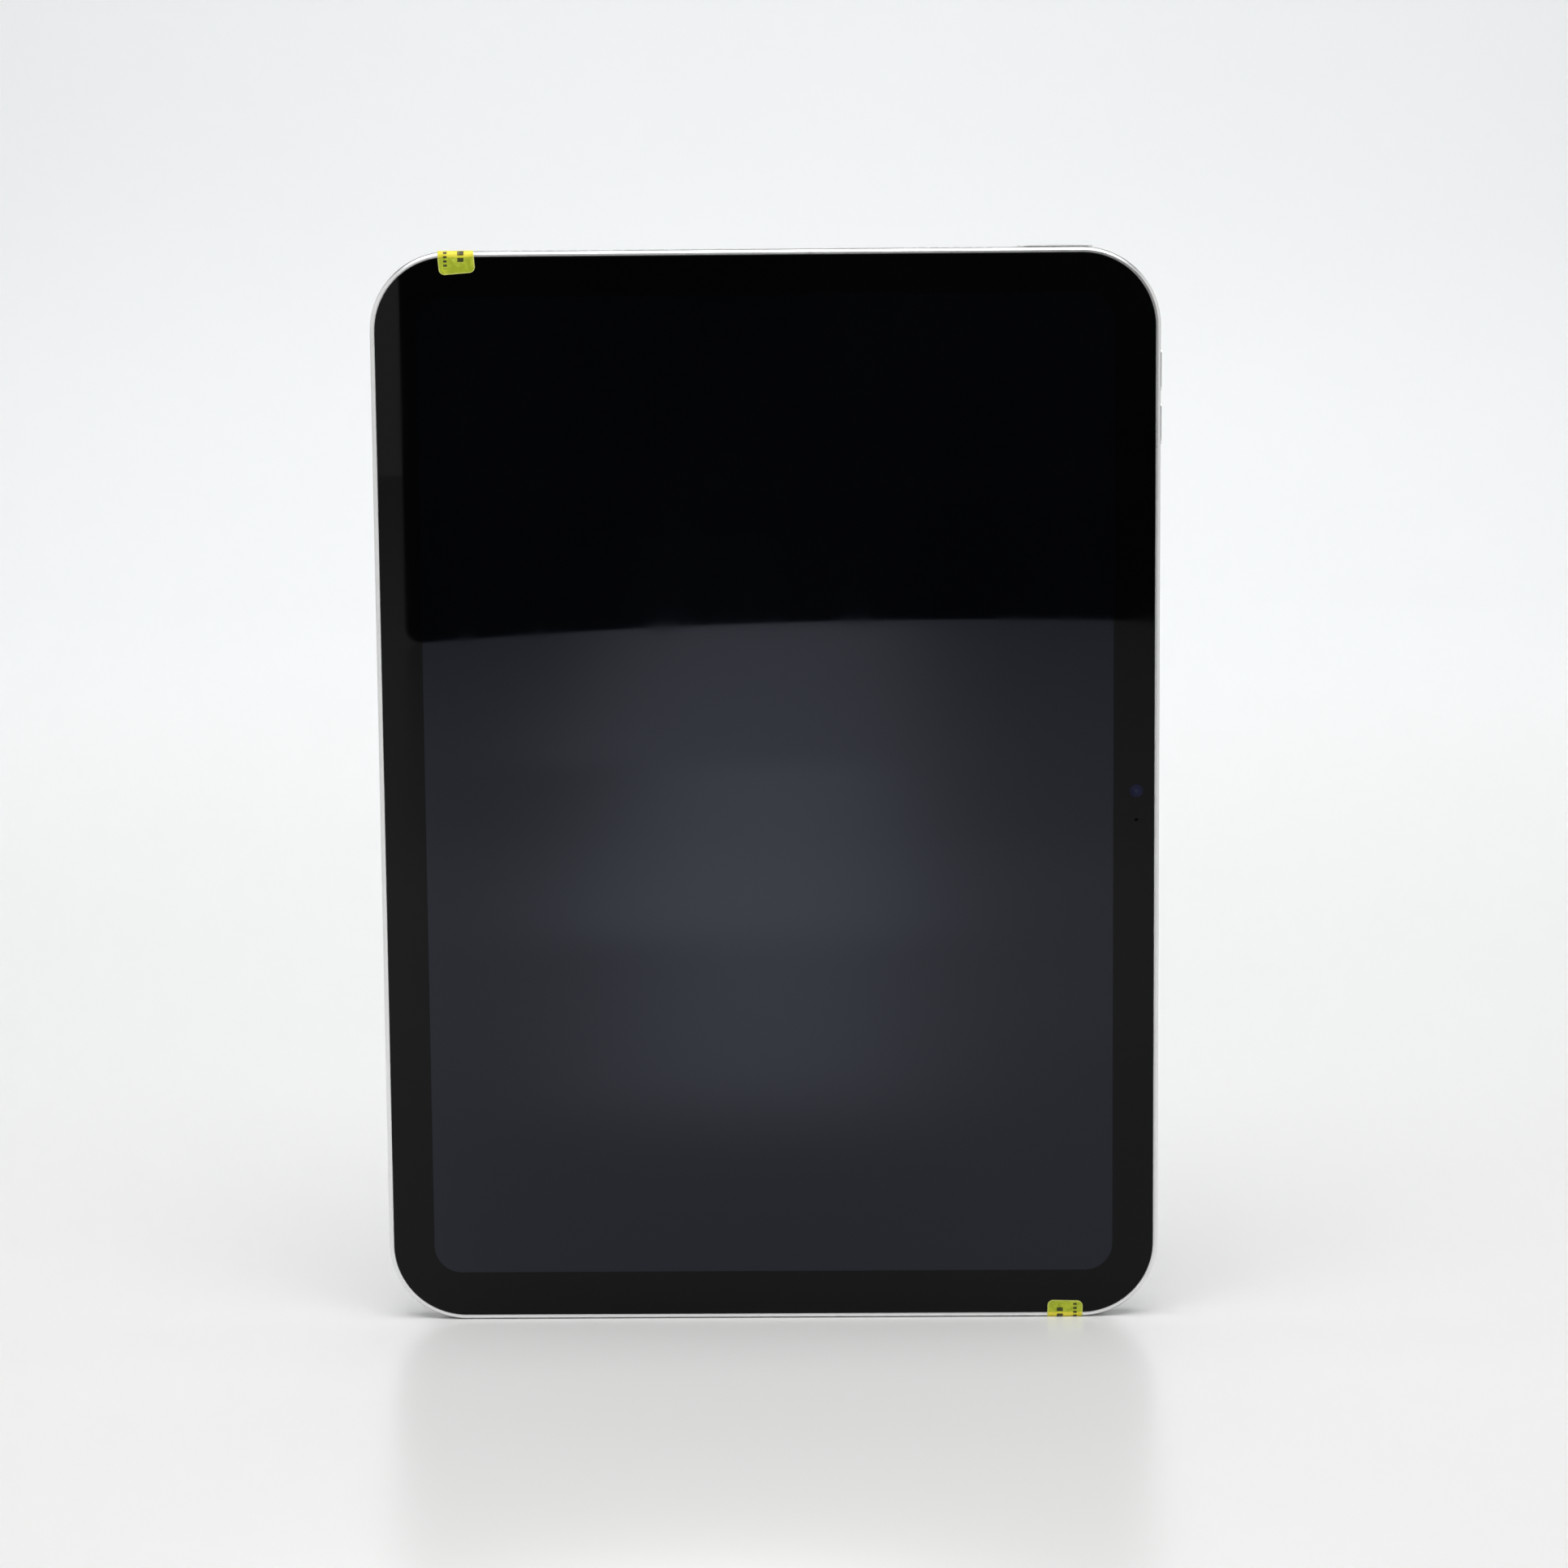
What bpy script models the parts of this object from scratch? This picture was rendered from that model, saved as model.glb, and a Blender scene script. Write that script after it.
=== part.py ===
"""A slim 10.9 inch class tablet computer, standing upright in portrait.

X runs to the right of someone who faces the screen, -Y comes out of the screen and +Z is up.
The origin is the middle of the bottom edge, halfway through the body's thickness.
All sizes are in metres.
"""

import math

import bmesh
import bpy

MM = 0.001

# Body: the outline, its round corners and the soft edge that runs round front and back.
WIDTH = 179.5 * MM
HEIGHT = 248.6 * MM
THICKNESS = 7.0 * MM
CORNER_R = 18.0 * MM
EDGE_R = 1.0 * MM
MIDDLE_Z = HEIGHT / 2
FRONT_Y = -THICKNESS / 2
BACK_Y = THICKNESS / 2
TOP_Z = HEIGHT
SIDE_X = WIDTH / 2

# Walls of the housing, measured inwards from the outline.
RIM = 1.1 * MM
WALL = 2.4 * MM
SEAM = 0.05 * MM
LEDGE_Y = -2.5 * MM
FLOOR_Y = 2.6 * MM
CAVITY_X = SIDE_X - WALL
CAVITY_TOP = TOP_Z - WALL

# Display stack, from the glass inwards.
GLASS_GAP = 0.1 * MM
GLASS_T = 0.65 * MM
GLASS_EDGE = 0.15 * MM
ADHESIVE_T = 0.25 * MM
ADHESIVE_W = 0.9 * MM
PANEL_W = 162.0 * MM
PANEL_H = 231.5 * MM
PANEL_R = 7.0 * MM
PANEL_DZ = 0.5 * MM
PANEL_Y = (-2.45 * MM, -1.75 * MM)
BACKLIGHT_GROW = 1.5 * MM
BACKLIGHT_Y = (-1.7 * MM, -0.8 * MM)
EAR_SHARE = 0.6
EAR_X = 84.3 * MM
EAR_DZ = 106.5 * MM
EAR_R = 1.9 * MM
SCREW_R = 0.6 * MM
SCREW_GAP = 0.1 * MM
SCREW_TIP = 0.3 * MM
SCREW_LENGTH = 2.2 * MM
SCREW_HEAD_R = 1.3 * MM
SCREW_HEAD_T = 0.45 * MM
BOSS_SINK = 0.3 * MM
BOSS_HOLE_Y = (-1.1 * MM, 1.9 * MM)

# Speaker holes: rows along the top and bottom walls, counted outwards from the middle.
HOLE_R = 0.55 * MM
HOLE_PITCH = 2.57 * MM
HOLE_FIRST = 32.1 * MM
HOLES_FULL_ROW = 12
HOLES_BY_BUTTON = 9

# A speaker in each corner: its box, and the dust mesh between the box and the holes.
SPEAKER_Y = (-0.45 * MM, 2.35 * MM)
SPEAKER_H = 24.0 * MM
SPEAKER_GAP = 0.6 * MM
SPEAKER_GROW = 1.0 * MM
SPEAKER_CORNER_R = 2.0 * MM
SPEAKER_EDGE = 0.4 * MM
MESH_MARGIN = 1.2 * MM
MESH_W = 2.6 * MM
MESH_T = 0.2 * MM
MESH_R = 0.5 * MM
MESH_DEPTH = 0.3 * MM

# Buttons. Each cap passes through a slot and has a flange behind the wall.
PROUD = 0.3 * MM
TRAVEL = 0.25 * MM
SLOT_GAP = 0.2 * MM
FLANGE_GROW = 0.8 * MM
FLANGE_BELOW = 0.3 * MM
FLANGE_T = 0.7 * MM
CAP_EDGE = 0.25 * MM
TOP_BUTTON_X = 65.8 * MM
TOP_BUTTON_L = 16.9 * MM
TOP_BUTTON_W = 3.0 * MM
SENSOR_L = 13.5 * MM
SENSOR_W = 1.9 * MM
SENSOR_T = 0.6 * MM
SENSOR_GAP = 0.05 * MM
VOLUME_Z = {"up": TOP_Z - 28.0 * MM, "down": TOP_Z - 40.2 * MM}
VOLUME_L = 9.6 * MM
VOLUME_W = 2.3 * MM

# The switch under each button, and the brackets that hold the switches.
SWITCH_T = 1.0 * MM
SWITCH_R = 0.6 * MM
SWITCH_EDGE = 0.25 * MM
TOP_SWITCH = (3.8 * MM, 3.0 * MM)
TOP_SWITCH_GAP = 0.35 * MM
VOLUME_SWITCH = (2.6 * MM, 3.4 * MM)
VOLUME_SWITCH_GAP = 0.3 * MM
BRACKET_GAP = 0.1 * MM
BRACKET_R = 0.8 * MM
BRACKET_HOLE_R = 0.6 * MM
TOP_BRACKET = (18.4 * MM, 3.8 * MM)
TOP_BRACKET_T = 0.6 * MM
TOP_BRACKET_HOLE_X = 7.8 * MM
VOLUME_BRACKET = (3.4 * MM, 21.5 * MM)
VOLUME_BRACKET_T = 0.5 * MM

# Rear camera, near the corner shared by the top button and the volume buttons.
CAMERA_X = SIDE_X - 13.2 * MM
CAMERA_Z = TOP_Z - 13.2 * MM
CAMERA_RING_R = 5.9 * MM
CAMERA_BORE_R = 5.3 * MM
CAMERA_COVER_R = 4.2 * MM
CAMERA_PROUD = 1.0 * MM
CAMERA_GAP = 0.1 * MM
RING_SEAT = 0.15 * MM
RING_COLLAR = 0.8 * MM
RING_LIP = 0.7 * MM
RING_EDGE_R = 0.3 * MM
COVER_BELOW_RING = 0.12 * MM
CAMERA_MODULE = 9.4 * MM
CAMERA_MODULE_R = 0.8 * MM
CAMERA_MODULE_Y = (-0.45 * MM, 2.45 * MM)
BARREL_R = 2.75 * MM
BARREL_WELL_Y = (0.35 * MM, 4.35 * MM)

# The barrel, and the front camera's lens, as (radius, height) points from the top down.
BARREL_PROFILE = (
    (0, -0.6 * MM),
    (1.3 * MM, -0.6 * MM),
    (2.0 * MM, -0.15 * MM),
    (BARREL_R - 0.2 * MM, -0.15 * MM),
    (BARREL_R, -0.35 * MM),
    (BARREL_R, -3.0 * MM),
    (0, -3.0 * MM),
)
FRONT_LENS_R = 1.65 * MM
FRONT_LENS_PROFILE = (
    (0, 0.8 * MM),
    (0.9 * MM, 0.72 * MM),
    (FRONT_LENS_R, 0.45 * MM),
    (FRONT_LENS_R, 0),
    (0, 0),
)

# Front camera and light sensor, in the right-hand border.
FRONT_CAMERA_X = SIDE_X - 5.3 * MM
FRONT_CAMERA_HALF = 2.4 * MM
FRONT_CAMERA_R = 0.6 * MM
FRONT_CAMERA_Y = (-1.9 * MM, 0.9 * MM)
LIGHT_SENSOR_DZ = -6.7 * MM
LIGHT_SENSOR_HALF = 1.0 * MM
LIGHT_SENSOR_R = 0.3 * MM
LIGHT_SENSOR_Y = (-2.75 * MM, -1.85 * MM)

# Microphones, each behind a small hole: one in the back and one in the right-hand wall.
MIC_HOLE_R = 0.5 * MM
MIC_LONG = 1.8 * MM
MIC_SHORT = 1.3 * MM
REAR_MIC_X = CAMERA_X - 10.0 * MM
REAR_MIC_Y = (1.3 * MM, 2.45 * MM)
REAR_MIC_R = 0.3 * MM
SIDE_MIC_DZ = 14.0 * MM
SIDE_MIC_X = (CAVITY_X - 1.3 * MM, CAVITY_X - 0.15 * MM)

# Charging port in the bottom edge.
PORT_W = 8.94 * MM
PORT_T = 3.2 * MM
PORT_WALL = 0.3 * MM
PORT_DEPTH = 7.3 * MM
PORT_INSET = 0.2 * MM
PORT_GAP = 0.15 * MM
TONGUE_GAP = 0.1 * MM
TONGUE_BASE_T = 1.8 * MM
BLADE = (6.7 * MM, 0.7 * MM, 0.3 * MM)
BLADE_INSET = 1.2 * MM
PORT_BOARD_W = 24.0 * MM
PORT_BOARD_Y = (1.7 * MM, 2.4 * MM)
PORT_BOARD_GAP = 0.3 * MM
PORT_BOARD_R = 0.8 * MM

# Accessory connector in the left edge.
ACCESSORY_L = 8.8 * MM
ACCESSORY_W = 3.0 * MM
ACCESSORY_PITCH = 2.6 * MM
ACCESSORY_GAP = 0.1 * MM
ACCESSORY_T = 1.9 * MM
ACCESSORY_INSET = 0.1 * MM
CONTACT_R = 0.9 * MM
CONTACT_T = 0.6 * MM
CONTACT_DEPTH = 0.4 * MM
CONTACT_GAP = 0.05 * MM
CONTACT_EDGE = 0.12 * MM
CONTACT_WELL = 1.6 * MM

# Batteries and boards.
CELL_W = 64.0 * MM
CELL_H = 128.0 * MM
CELL_X = 50.0 * MM
CELL_DZ = 2.0 * MM
CELL_Y = (-0.45 * MM, 2.45 * MM)
CELL_R = 2.0 * MM
CELL_EDGE = 0.6 * MM
CELL_BOARD_W = 120.0 * MM
CELL_BOARD_H = 6.0 * MM
CELL_BOARD_Y = (1.3 * MM, 2.3 * MM)
CELL_BOARD_R = 0.6 * MM
CELL_BOARD_GAP = 1.5 * MM
CELL_FLEX_W = 10.0 * MM
CELL_FLEX_Y = (0.9 * MM, 1.1 * MM)
CELL_FLEX_LAP = 9.0 * MM
CELL_FLEX_SHORT = 1.0 * MM
BOARD_W = 30.0 * MM
BOARD_TOP_DZ = 62.0 * MM
BOARD_BOTTOM_DZ = -98.0 * MM
BOARD_Y = (1.6 * MM, 2.4 * MM)
BOARD_R = 1.0 * MM
BOARD_SPLIT = 3.0 * MM
CAN_FRONT_Y = 0.1 * MM
CAN_WALL = 0.2 * MM
CAN_GAP = 0.1 * MM
CAN_EDGE = 0.5 * MM

# Shield cans: name, width, height and the height of the middle, in millimetres.
CANS = (
    ("processor_shield", 26.0, 38.0, 26.0),
    ("memory_shield", 26.0, 26.0, -12.0),
    ("radio_shield", 24.0, 30.0, -46.0),
)

# Flexible circuits. The two from the display drop behind the backlight and then to the board.
FLEX_T = 0.15 * MM
FLEX_BEHIND = 0.2 * MM
FLEX_LOW_Y = 0.3 * MM
FLEX_DROP_DZ = (-110.0 * MM, -92.0 * MM, -88.0 * MM)
DISPLAY_FLEXES = (
    ("display_flex", -8.0 * MM, 9.0 * MM, -78.0 * MM),
    ("touch_flex", 8.0 * MM, 7.0 * MM, -80.0 * MM),
)
CAMERA_FLEX_X = (12.0 * MM, FRONT_CAMERA_X - 2.6 * MM)
CAMERA_FLEX_DZ = (-6.0 * MM, -1.0 * MM)
FLEX_R = 0.6 * MM

# Strips beside the batteries: name, side, middle height, length and depth, in millimetres.
STRIP_IN = 2.0 * MM
STRIP_W = 2.8 * MM
STRIP_R = 0.4 * MM
ANTENNAS = (
    ("wifi_antenna_left", -1, 72.0, 40.0, -0.4, 0.2),
    ("wifi_antenna_right", 1, -72.0, 40.0, -0.4, 0.2),
)
MAGNETS = (
    ("cover_magnet_left", -1, -45.0, 46.0, 0.4, 2.4),
    ("cover_magnet_right", 1, 48.0, 40.0, 0.4, 2.4),
)

# Tamper seals: thin tape that starts on the glass and goes round the edge.
SEAL_T = 0.1 * MM
SEAL_LIFT = 0.05 * MM
SEAL_W = 8.2 * MM
SEAL_X = {"top": -69.9 * MM, "bottom": 68.1 * MM}
SEAL_ON_GLASS = {"top": 5.0 * MM, "bottom": 4.0 * MM}
SEAL_ON_EDGE = {"top": 4.6 * MM, "bottom": 5.2 * MM}

ROUND_STEPS = 24
TURNED_STEPS = 32
CORNER_STEPS = 10
OUTLINE_STEPS = 12
COARSE_STEPS = 10
OVERCUT = 1.0 * MM

# How a flat outline is turned: the face it shows, as a rotation of the XY plane.
FACING = {
    "front": (math.pi / 2, 0, 0),
    "side": (math.pi / 2, 0, math.pi / 2),
    "top": (0, 0, 0),
}


def clear_scene():
    for obj in list(bpy.data.objects):
        bpy.data.objects.remove(obj)


def new_collection(name):
    collection = bpy.data.collections.new(name)
    bpy.context.scene.collection.children.link(collection)
    return collection


def material(name, color, roughness, metallic=0.0):
    made = bpy.data.materials.new(name)
    made.use_nodes = True
    shader = made.node_tree.nodes["Principled BSDF"]
    shader.inputs["Base Color"].default_value = (*color, 1.0)
    shader.inputs["Roughness"].default_value = roughness
    shader.inputs["Metallic"].default_value = metallic
    made.diffuse_color = (*color, 1.0)
    return made


def finish(obj, name, look, collection):
    obj.name = name
    obj.data.name = name
    for owner in list(obj.users_collection):
        owner.objects.unlink(obj)
    collection.objects.link(obj)
    if look:
        obj.data.materials.clear()
        obj.data.materials.append(look)
    obj.data.shade_smooth()
    obj.data.set_sharp_from_angle(angle=math.radians(32))
    return obj


def helper(obj):
    obj.hide_render = True
    obj.display_type = "WIRE"
    return obj


def round_rect(width, height, radius, steps=CORNER_STEPS):
    """Points of a rectangle with round corners, counterclockwise."""
    points = []
    corners = ((1, -1, -90), (1, 1, 0), (-1, 1, 90), (-1, -1, 180))
    for side_x, side_y, start in corners:
        x = side_x * (width / 2 - radius)
        y = side_y * (height / 2 - radius)
        for step in range(steps + 1):
            angle = math.radians(start + 90 * step / steps)
            points.append((x + radius * math.cos(angle), y + radius * math.sin(angle)))
    return points


def circle(radius, middle=(0, 0), steps=ROUND_STEPS):
    turns = [2 * math.pi * step / steps for step in range(steps)]
    return [(middle[0] + radius * math.cos(t), middle[1] + radius * math.sin(t)) for t in turns]


def stadium(width, height):
    """The outline of a slot: a rectangle whose two short sides are round."""
    return round_rect(width, height, min(width, height) / 2 * 0.999, 8)


def plate(name, loops, thickness, place, facing, look, collection):
    """A flat piece: an outline, with any holes after it, extruded either side of its middle plane."""
    curve = bpy.data.curves.new(name, "CURVE")
    curve.dimensions = "2D"
    curve.fill_mode = "BOTH"
    curve.extrude = thickness / 2
    for loop in loops:
        spline = curve.splines.new("POLY")
        spline.points.add(len(loop) - 1)
        for point, (x, y) in zip(spline.points, loop):
            point.co = (x, y, 0, 1)
        spline.use_cyclic_u = True
    outline = bpy.data.objects.new(name, curve)
    bpy.context.scene.collection.objects.link(outline)
    graph = bpy.context.evaluated_depsgraph_get()
    mesh = bpy.data.meshes.new_from_object(outline.evaluated_get(graph))
    bpy.data.objects.remove(outline)
    bpy.data.curves.remove(curve)
    weld(mesh)
    obj = bpy.data.objects.new(name, mesh)
    bpy.context.scene.collection.objects.link(obj)
    obj.location = place
    obj.rotation_euler = FACING[facing]
    return finish(obj, name, look, collection)


def weld(mesh):
    edit = bmesh.new()
    edit.from_mesh(mesh)
    bmesh.ops.remove_doubles(edit, verts=edit.verts, dist=1e-6)
    bmesh.ops.dissolve_limit(edit, angle_limit=0.01, verts=edit.verts, edges=edit.edges)
    bmesh.ops.recalc_face_normals(edit, faces=edit.faces)
    edit.to_mesh(mesh)
    edit.free()


def turned(name, profile, place, direction, look, collection, steps=ROUND_STEPS):
    """A turned piece. The profile's (radius, height) points run from its top to its bottom."""
    mesh = bpy.data.meshes.new(name)
    corners = [(radius, 0, height) for radius, height in profile]
    mesh.from_pydata(corners, [(i, i + 1) for i in range(len(corners) - 1)], [])
    obj = bpy.data.objects.new(name, mesh)
    bpy.context.scene.collection.objects.link(obj)
    obj.location = place
    obj.rotation_euler = {
        "front": (math.pi / 2, 0, 0),
        "back": (-math.pi / 2, 0, 0),
        "left": (0, -math.pi / 2, 0),
    }[direction]
    screw = obj.modifiers.new("turn", "SCREW")
    screw.steps = steps
    screw.render_steps = steps
    screw.use_merge_vertices = True
    screw.merge_threshold = 0.000001
    return finish(obj, name, look, collection)


def bevel(obj, width, segments=2):
    rounding = obj.modifiers.new("edges", "BEVEL")
    rounding.width = width
    rounding.segments = segments
    rounding.limit_method = "ANGLE"
    rounding.angle_limit = math.radians(40)
    return obj


def boolean(obj, other, operation="DIFFERENCE"):
    change = obj.modifiers.new(operation.lower(), "BOOLEAN")
    change.operation = operation
    change.object = other
    return obj


def box(name, low, high, look, collection, radius=0.0):
    """A block between two corners, with round vertical edges as seen from the front."""
    size = [b - a for a, b in zip(low, high)]
    middle = [(a + b) / 2 for a, b in zip(low, high)]
    corner = max(radius, 0.05 * MM)
    steps = 4 if radius else 1
    outline = round_rect(size[0], size[2], corner, steps)
    return plate(name, [outline], size[1], middle, "front", look, collection)


class Looks:
    """One material for each kind of surface."""

    def __init__(self):
        self.aluminium = material("anodised_aluminium", (0.66, 0.67, 0.68), 0.34, 1.0)
        self.glass = material("cover_glass", (0.004, 0.004, 0.005), 0.03)
        self.tape = material("black_adhesive", (0.01, 0.01, 0.01), 0.6)
        self.display = material("display_glass", (0.02, 0.02, 0.028), 0.12)
        self.reflector = material("backlight_back", (0.75, 0.75, 0.74), 0.3, 1.0)
        self.steel = material("steel", (0.5, 0.5, 0.5), 0.35, 1.0)
        self.sapphire = material("sapphire", (0.01, 0.01, 0.012), 0.05)
        self.lens = material("lens", (0.008, 0.01, 0.03), 0.02)
        self.plastic = material("black_plastic", (0.015, 0.015, 0.016), 0.45)
        self.grey_plastic = material("grey_plastic", (0.45, 0.45, 0.46), 0.5)
        self.pouch = material("battery_pouch", (0.03, 0.03, 0.032), 0.4)
        self.board = material("circuit_board", (0.01, 0.02, 0.016), 0.5)
        self.shield = material("shield_can", (0.62, 0.61, 0.58), 0.32, 1.0)
        self.gold = material("gold_contact", (0.83, 0.62, 0.28), 0.25, 1.0)
        self.flex = material("flex_cable", (0.02, 0.018, 0.012), 0.4)
        self.magnet = material("magnet", (0.35, 0.35, 0.36), 0.3, 1.0)
        self.seal = material("yellow_seal", (0.78, 0.72, 0.04), 0.5)


def rel(dz):
    """A height counted from the middle of the tablet."""
    return MIDDLE_Z + dz


def hole_centres(side, count):
    return [side * (HOLE_FIRST + HOLE_PITCH * i) for i in range(count)]


def speaker_hole_cutter(cutters):
    """Every speaker hole of both walls, as one cutter."""
    rows = (
        (-1, HOLES_FULL_ROW, CAVITY_TOP),
        (1, HOLES_BY_BUTTON, CAVITY_TOP),
        (-1, HOLES_FULL_ROW, 0),
        (1, HOLES_FULL_ROW, 0),
    )
    edit = bmesh.new()
    for side, count, wall_z in rows:
        for x in hole_centres(side, count):
            made = bmesh.ops.create_cone(
                edit,
                cap_ends=True,
                segments=COARSE_STEPS,
                radius1=HOLE_R,
                radius2=HOLE_R,
                depth=WALL + 2 * OVERCUT,
            )
            bmesh.ops.translate(edit, verts=made["verts"], vec=(x, 0, wall_z + WALL / 2))
    mesh = bpy.data.meshes.new("speaker_hole_cutter")
    edit.to_mesh(mesh)
    edit.free()
    obj = bpy.data.objects.new("speaker_hole_cutter", mesh)
    bpy.context.scene.collection.objects.link(obj)
    return helper(finish(obj, "speaker_hole_cutter", None, cutters))


def through(name, loop, thickness, place, facing, cutters):
    return helper(plate(name, [loop], thickness, place, facing, None, cutters))


def rear_housing(looks, parts, cutters):
    outline = round_rect(WIDTH, HEIGHT, CORNER_R, OUTLINE_STEPS)
    housing = plate(
        "rear_housing", [outline], THICKNESS, (0, 0, MIDDLE_Z), "front", looks.aluminium, parts
    )
    bevel(housing, EDGE_R, 3)
    recess = round_rect(WIDTH - 2 * RIM, HEIGHT - 2 * RIM, CORNER_R - RIM, OUTLINE_STEPS)
    depth = LEDGE_Y - FRONT_Y + OVERCUT
    boolean(
        housing,
        through("glass_recess", recess, depth, (0, LEDGE_Y - depth / 2, MIDDLE_Z), "front", cutters),
    )
    cavity = round_rect(WIDTH - 2 * WALL, HEIGHT - 2 * WALL, CORNER_R - WALL, OUTLINE_STEPS)
    depth = FLOOR_Y - FRONT_Y + OVERCUT
    boolean(
        housing,
        through("cavity", cavity, depth, (0, FLOOR_Y - depth / 2, MIDDLE_Z), "front", cutters),
    )
    for index, (side, end) in enumerate(ear_sides()):
        boss_y = (BACKLIGHT_Y[1] + SEAM, FLOOR_Y + BOSS_SINK)
        boss = plate(
            f"boss_{index + 1}",
            [circle(EAR_R, steps=14)],
            boss_y[1] - boss_y[0],
            (side * EAR_X, sum(boss_y) / 2, rel(end * EAR_DZ)),
            "front",
            None,
            cutters,
        )
        boolean(housing, helper(boss), "UNION")
        hole = through(
            f"boss_hole_{index + 1}",
            circle(SCREW_R + SCREW_GAP, steps=COARSE_STEPS),
            BOSS_HOLE_Y[1] - BOSS_HOLE_Y[0],
            (side * EAR_X, sum(BOSS_HOLE_Y) / 2, rel(end * EAR_DZ)),
            "front",
            cutters,
        )
        boolean(housing, hole)
    boolean(housing, speaker_hole_cutter(cutters))
    for cutter in wall_cutters(cutters):
        boolean(housing, cutter)
    return housing


def wall_cutters(cutters):
    """The slots and holes in the housing's walls, other than the speaker holes."""
    deep = WALL + 2 * OVERCUT
    top = (TOP_BUTTON_X, 0, TOP_Z - WALL / 2)
    slot = stadium(TOP_BUTTON_L + 2 * SLOT_GAP, TOP_BUTTON_W + 2 * SLOT_GAP)
    yield through("top_button_slot", slot, deep, top, "top", cutters)
    for which, z in VOLUME_Z.items():
        slot = stadium(VOLUME_W + 2 * SLOT_GAP, VOLUME_L + 2 * SLOT_GAP)
        place = (SIDE_X - WALL / 2, 0, z)
        yield through(f"volume_{which}_slot", slot, deep, place, "side", cutters)
    port = stadium(PORT_W + 2 * PORT_GAP, PORT_T + 2 * PORT_GAP)
    yield through("port_opening", port, deep, (0, 0, WALL / 2), "top", cutters)
    accessory = stadium(ACCESSORY_W + 2 * ACCESSORY_GAP, ACCESSORY_L + 2 * ACCESSORY_GAP)
    place = (WALL / 2 - SIDE_X, 0, MIDDLE_Z)
    yield through("accessory_opening", accessory, deep, place, "side", cutters)
    camera = circle(CAMERA_BORE_R + CAMERA_GAP + SEAM)
    yield through("camera_bore", camera, deep, (CAMERA_X, BACK_Y, CAMERA_Z), "front", cutters)
    mic = circle(MIC_HOLE_R, steps=COARSE_STEPS)
    place = (REAR_MIC_X, BACK_Y, CAMERA_Z)
    yield through("rear_mic_hole", mic, deep, place, "front", cutters)
    place = (SIDE_X - WALL / 2, 0, rel(SIDE_MIC_DZ))
    yield through("side_mic_hole", mic, deep, place, "side", cutters)


def ear_sides():
    return ((-1, 1), (1, 1), (-1, -1), (1, -1))


def display(looks, parts, cutters):
    inset = RIM + GLASS_GAP
    outline = round_rect(WIDTH - 2 * inset, HEIGHT - 2 * inset, CORNER_R - inset, OUTLINE_STEPS)
    glass_y = FRONT_Y + GLASS_T / 2
    glass = plate(
        "front_glass", [outline], GLASS_T, (0, glass_y, MIDDLE_Z), "front", looks.glass, parts
    )
    bevel(glass, GLASS_EDGE, 1)
    inset += GLASS_GAP
    outer = round_rect(WIDTH - 2 * inset, HEIGHT - 2 * inset, CORNER_R - inset)
    inset += ADHESIVE_W
    inner = round_rect(WIDTH - 2 * inset, HEIGHT - 2 * inset, CORNER_R - inset)
    adhesive_y = LEDGE_Y - SEAM - ADHESIVE_T / 2
    plate(
        "glass_adhesive",
        [outer, inner],
        ADHESIVE_T,
        (0, adhesive_y, MIDDLE_Z),
        "front",
        looks.tape,
        parts,
    )
    panel = [round_rect(PANEL_W, PANEL_H, PANEL_R, 6)]
    place = (0, sum(PANEL_Y) / 2, rel(PANEL_DZ))
    plate("lcd_panel", panel, PANEL_Y[1] - PANEL_Y[0], place, "front", looks.display, parts)
    backlight_unit(looks, parts, cutters)
    for index, (side, end) in enumerate(ear_sides()):
        display_screw(index + 1, side * EAR_X, rel(end * EAR_DZ), looks, parts)


def backlight_unit(looks, parts, cutters):
    """The backlight's tray, with a screw ear near each end of its long sides."""
    thickness = BACKLIGHT_Y[1] - BACKLIGHT_Y[0]
    middle_y = sum(BACKLIGHT_Y) / 2
    tray = plate(
        "backlight_unit",
        [round_rect(PANEL_W + BACKLIGHT_GROW, PANEL_H + BACKLIGHT_GROW, PANEL_R, 6)],
        thickness,
        (0, middle_y, rel(PANEL_DZ)),
        "front",
        looks.reflector,
        parts,
    )
    reach = EAR_X + EAR_R - PANEL_W / 2
    for index, (side, end) in enumerate(ear_sides()):
        ear_x = side * (EAR_X + EAR_R - reach / 2)
        z = rel(end * EAR_DZ)
        ear = through(
            f"ear_{index + 1}",
            stadium(reach, 2 * EAR_R),
            thickness * EAR_SHARE,
            (ear_x, middle_y, z),
            "front",
            cutters,
        )
        boolean(tray, ear, "UNION")
        hole = circle(SCREW_R + SCREW_GAP + SEAM, steps=COARSE_STEPS)
        place = (side * EAR_X, middle_y, z)
        boolean(
            tray, through(f"ear_hole_{index + 1}", hole, 4 * thickness, place, "front", cutters)
        )


def display_screw(number, x, z, looks, parts):
    """A pan-head screw through an ear of the backlight into its boss."""
    half_ear = (BACKLIGHT_Y[1] - BACKLIGHT_Y[0]) * EAR_SHARE / 2
    place = (x, sum(BACKLIGHT_Y) / 2 - half_ear, z)
    profile = (
        (0.0, SEAM + SCREW_HEAD_T),
        (SCREW_HEAD_R * 0.8, SEAM + SCREW_HEAD_T),
        (SCREW_HEAD_R, SCREW_HEAD_T * 0.6),
        (SCREW_HEAD_R, SEAM),
        (SCREW_R, SEAM),
        (SCREW_R, SCREW_TIP - SCREW_LENGTH),
        (SCREW_R * 0.5, -SCREW_LENGTH),
        (0.0, -SCREW_LENGTH),
    )
    turned(f"display_screw_{number}", profile, place, "front", looks.steel, parts, steps=12)


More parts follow.
